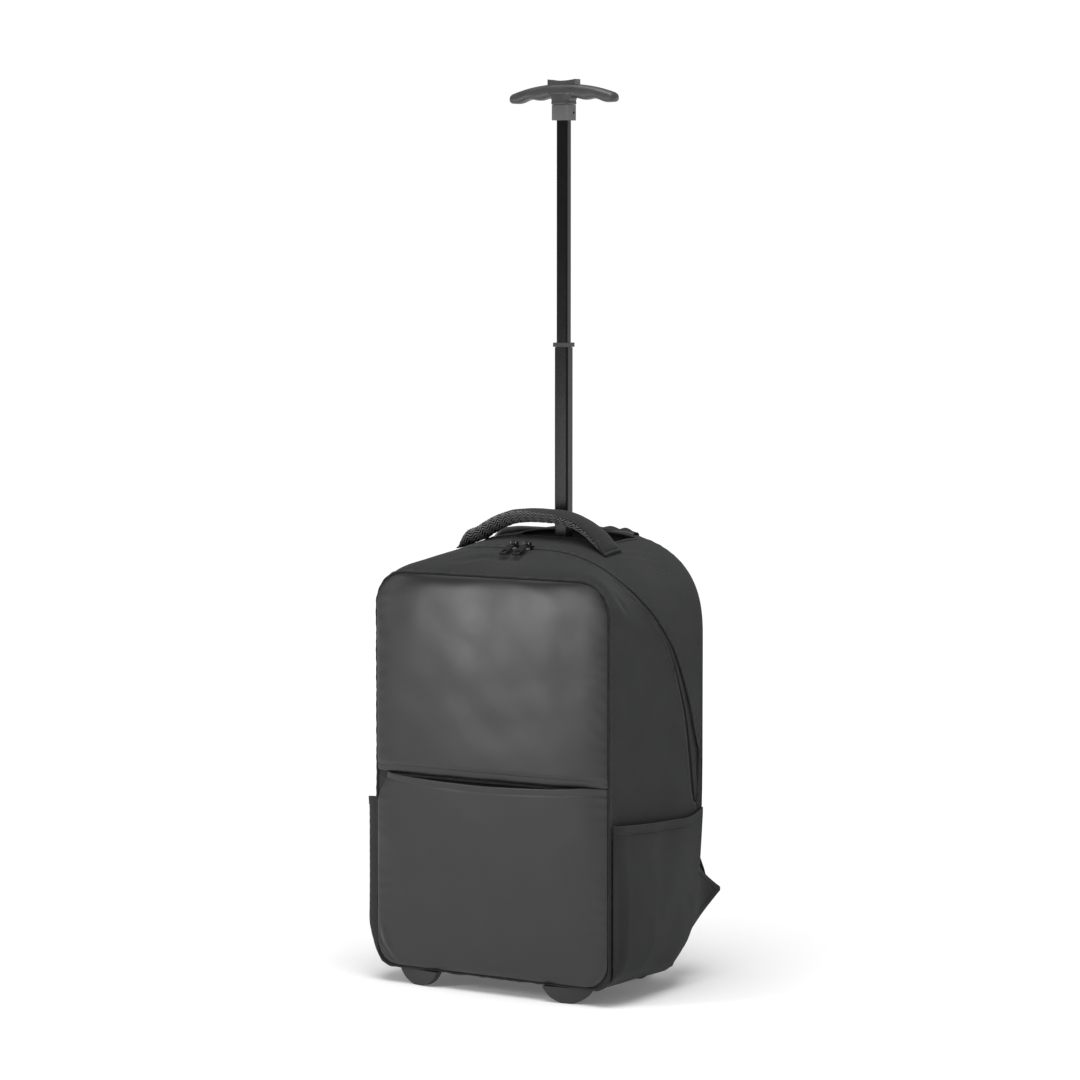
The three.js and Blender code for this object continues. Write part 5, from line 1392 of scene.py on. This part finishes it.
def stitches(name, lines, length=3.0, gap=1.1, radius=0.36, look=THREAD_LOOK, body="bag"):
    """One piece of thread stitches along lines of points."""
    part = Part()
    for line in lines:
        line = np.asarray(line, float)
        at = lengths_along(line[None], 1)[0]
        begin = np.arange(0, at[-1] - length, length + gap)
        if not len(begin):
            continue
        starts = np.stack([np.interp(begin, at, line[:, i]) for i in range(3)], -1)
        ends = np.stack([np.interp(begin + length, at, line[:, i]) for i in range(3)], -1)
        for capsule in stitch_grid(starts, ends, radius):
            part.grid(capsule, wrap=True)
    thing = part.build(name, look)
    return settle(thing, body, "webbing")


def zip_stitch_lines():
    """Rows of stitches on both sides of the main zip."""
    steps = zip_ring()
    at, gap = zip_depth(steps), zip_half_gap(steps)
    return [body_point(steps, at - gap - 3.2, 0.25), body_point(steps, at + gap + 3.2, 0.25)]


def panel_stitch_lines():
    """Stitches over the slit and under it, seven millimetres from the edges."""
    a = np.linspace(-0.97, 0.97, 200)
    high = np.full_like(a, SLIT_HEIGHT + 7)
    low = lip_height(a) - 6.5
    upper = np.stack((a * PANEL_FACE, RIM_Y - panel_depth(a, high, 41) * 0.85 + 0.1, high), -1)
    place = np.stack((a * PANEL_FACE, 0 * a, low), -1)
    slump = 1.2 * waves(place, 90, 55) * np.exp(-(SLIT_HEIGHT - low) / 45) * limit((1 - np.abs(a)) * 6)
    depth = panel_depth(a, low, 45) + 0.8 * math.exp(-6.5 / 7) + slump - 0.3
    turned = 14.0 * limit((low - 201) / 31) ** 1.3 * (a < 0)
    lower = np.stack((a * PANEL_FACE + turned * np.abs(a) ** 6, RIM_Y - depth, low), -1)
    return [upper, lower]


def handle_end_lines():
    """A box of stitches on each sewn end of the grab handle."""
    corners = [(0.86, 155), (0.975, 155), (0.975, 25), (0.86, 25), (0.86, 155), (0.975, 25)]
    lines = []
    for side in (-1, 1):
        line = []
        for (t0, a0), (t1, a1) in zip(corners[:-1], corners[1:]):
            share = np.linspace(0, 1, 24)
            t = np.append(side * mix(t0, t1, share), 0.0)
            angle = np.arccos(mix(math.cos(math.radians(a0)), math.cos(math.radians(a1)), share))
            order = np.argsort(t)
            ring = handle_ring(t[order], np.append(angle, 0.0)[order][:, None], 0.5)[:, 0]
            line.append(ring[np.argsort(order)][:-1])
        lines.append(np.concatenate(line))
    return lines


CAD_LOOKS = {
    "wheel_carriage": (CARRIAGE_LOOK, 1.2),
    "axle_left": (STEEL_LOOK, 0.4),
    "axle_right": (STEEL_LOOK, 0.4),
    "wheel_hub_left": (CARRIAGE_LOOK, 0.5),
    "wheel_hub_right": (CARRIAGE_LOOK, 0.5),
    "wheel_tyre_left": (RUBBER_LOOK, 0.8),
    "wheel_tyre_right": (RUBBER_LOOK, 0.8),
    "foot_left": (CARRIAGE_LOOK, 1.0),
    "foot_right": (CARRIAGE_LOOK, 1.0),
    "pole_outer": (TUBE_LOOK, 0.3),
    "pole_middle": (TUBE_LOOK, 0.3),
    "pole_upper": (TUBE_LOOK, 0.3),
    "pole_collar": (CARRIAGE_LOOK, 0.5),
    "grip_socket": (SOCKET_LOOK, 0.8),
    "grip_button": (BUTTON_LOOK, 0.7),
    "zip_slider_left": (LACQUER_LOOK, 0.3),
    "zip_slider_right": (LACQUER_LOOK, 0.3),
    "zip_pull_left": (LACQUER_LOOK, 0.35),
    "zip_pull_right": (LACQUER_LOOK, 0.35),
}


def dress_cad_nodes():
    """Finer edges and real finishes on the hard CAD nodes that stay."""
    sharp = math.radians(40)
    for name, (look, edge) in CAD_LOOKS.items():
        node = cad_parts[name]
        node.data.materials.clear()
        node.data.materials.append(look)
        modify(node, "BEVEL", width=edge * MM, segments=3, limit_method="ANGLE", angle_limit=sharp)
        modify(node, "WEIGHTED_NORMAL", keep_sharp=False)


def make_camera():
    azimuth, elevation = math.radians(33.4), math.radians(4.43)
    flat = math.cos(elevation)
    back = Vector((math.sin(azimuth) * flat, -math.cos(azimuth) * flat, math.sin(elevation)))
    right = Vector((math.cos(azimuth), math.sin(azimuth), 0))
    up = back.cross(right)
    place = Vector((0, -30, 500)) + 0.2 * right - 10.5 * up + 4425 * back
    data = bpy.data.cameras.new("camera")
    data.lens = 134.33
    data.sensor_width = 36
    data.clip_end = 100
    camera = bpy.data.objects.new("camera", data)
    turn = Matrix((right, up, back)).transposed().to_4x4()
    camera.matrix_world = Matrix.Translation(place * MM) @ turn
    bpy.context.scene.collection.objects.link(camera)
    bpy.context.scene.camera = camera


WORLD_LIGHT = 0.3
FLOOR_GLOW = (0.12, 0.77)
FLOOR_GLOW_REACH = (0.5, 3.0)


def soft_light(name, place, target, size, power):
    data = bpy.data.lights.new(name, "AREA")
    data.shape = "RECTANGLE"
    data.size, data.size_y = size
    data.energy = power
    light = bpy.data.objects.new(name, data)
    light.location = place
    light.visible_camera = False
    light.rotation_euler = (Vector(target) - Vector(place)).to_track_quat("-Z", "Y").to_euler()
    bpy.context.scene.collection.objects.link(light)


def white_world():
    """A white backdrop that lights the bag more gently than it shows."""
    world = bpy.data.worlds.new("studio")
    world.use_nodes = True
    tree = world.node_tree
    path = tree.nodes.new("ShaderNodeLightPath")
    spread = tree.nodes.new("ShaderNodeMapRange")
    spread.inputs["To Min"].default_value = WORLD_LIGHT
    spread.inputs["To Max"].default_value = 1.02
    tree.links.new(path.outputs["Is Camera Ray"], spread.inputs["Value"])
    background = tree.nodes["Background"]
    background.inputs["Color"].default_value = (1, 1, 1, 1)
    tree.links.new(spread.outputs[0], background.inputs["Strength"])
    return world


def make_stage():
    scene = bpy.context.scene
    scene.view_settings.view_transform = "Standard"
    scene.world = white_world()
    soft_light("key", (-0.40, -0.86, 0.46), (0.05, -0.13, 0.36), (0.16, 0.3), 2.5)
    soft_light("over", (0.3, -0.6, 3.0), (0, 0, 0.3), (2.4, 2.4), 98)
    soft_light("rear", (1.3, 1.95, 0.8), (0.05, 0.02, 0.5), (0.5, 1.3), 4)
    mesh = bpy.data.meshes.new("floor")
    edge = 30.0
    corners = [(x * edge, y * edge, 0) for x, y in ((-1, -1), (1, -1), (1, 1), (-1, 1))]
    mesh.from_pydata(corners, [], [(0, 1, 2, 3)])
    floor = bpy.data.objects.new("floor", mesh)
    scene.collection.objects.link(floor)
    s = Shader("pale floor")
    s.set(Base_Color=(0.85, 0.85, 0.85, 1), Roughness=0.9, Specular_IOR_Level=0.1)
    away = s.tree.nodes.new("ShaderNodeVectorMath")
    away.operation = "LENGTH"
    s.put(away.inputs[0], s.place)
    glow = s.spread(away.outputs["Value"], *FLOOR_GLOW, *FLOOR_GLOW_REACH)
    s.set(Emission_Color=(1, 1, 1, 1), Emission_Strength=glow)
    mesh.materials.append(s.material)


def make_bag():
    front_shell()
    back_shell()
    main_zip()
    welt()
    upper_panel()
    lower_panel()
    slit_zip()
    hems = [side_pocket(-1, "pocket_left"), side_pocket(1, "pocket_right")]
    stow_lining()
    stow_binding()
    stow_collar()
    flap()
    handle_lines = grab_handle()
    back_pad()
    strap_lines = []
    for side, name in ((-1, "left"), (1, "right")):
        strap_lines += shoulder_strap(side, name)
        strap_wing(side, name)
        strap_webbing(side, name)
        ladder_lock(name)
    stitches("body_stitches", zip_stitch_lines() + panel_stitch_lines() + hems)
    stitches("handle_stitches", handle_lines + handle_end_lines())
    stitches("strap_stitches", strap_lines)


make_camera()
make_stage()
make_bag()
grip_handle()
dress_cad_nodes()
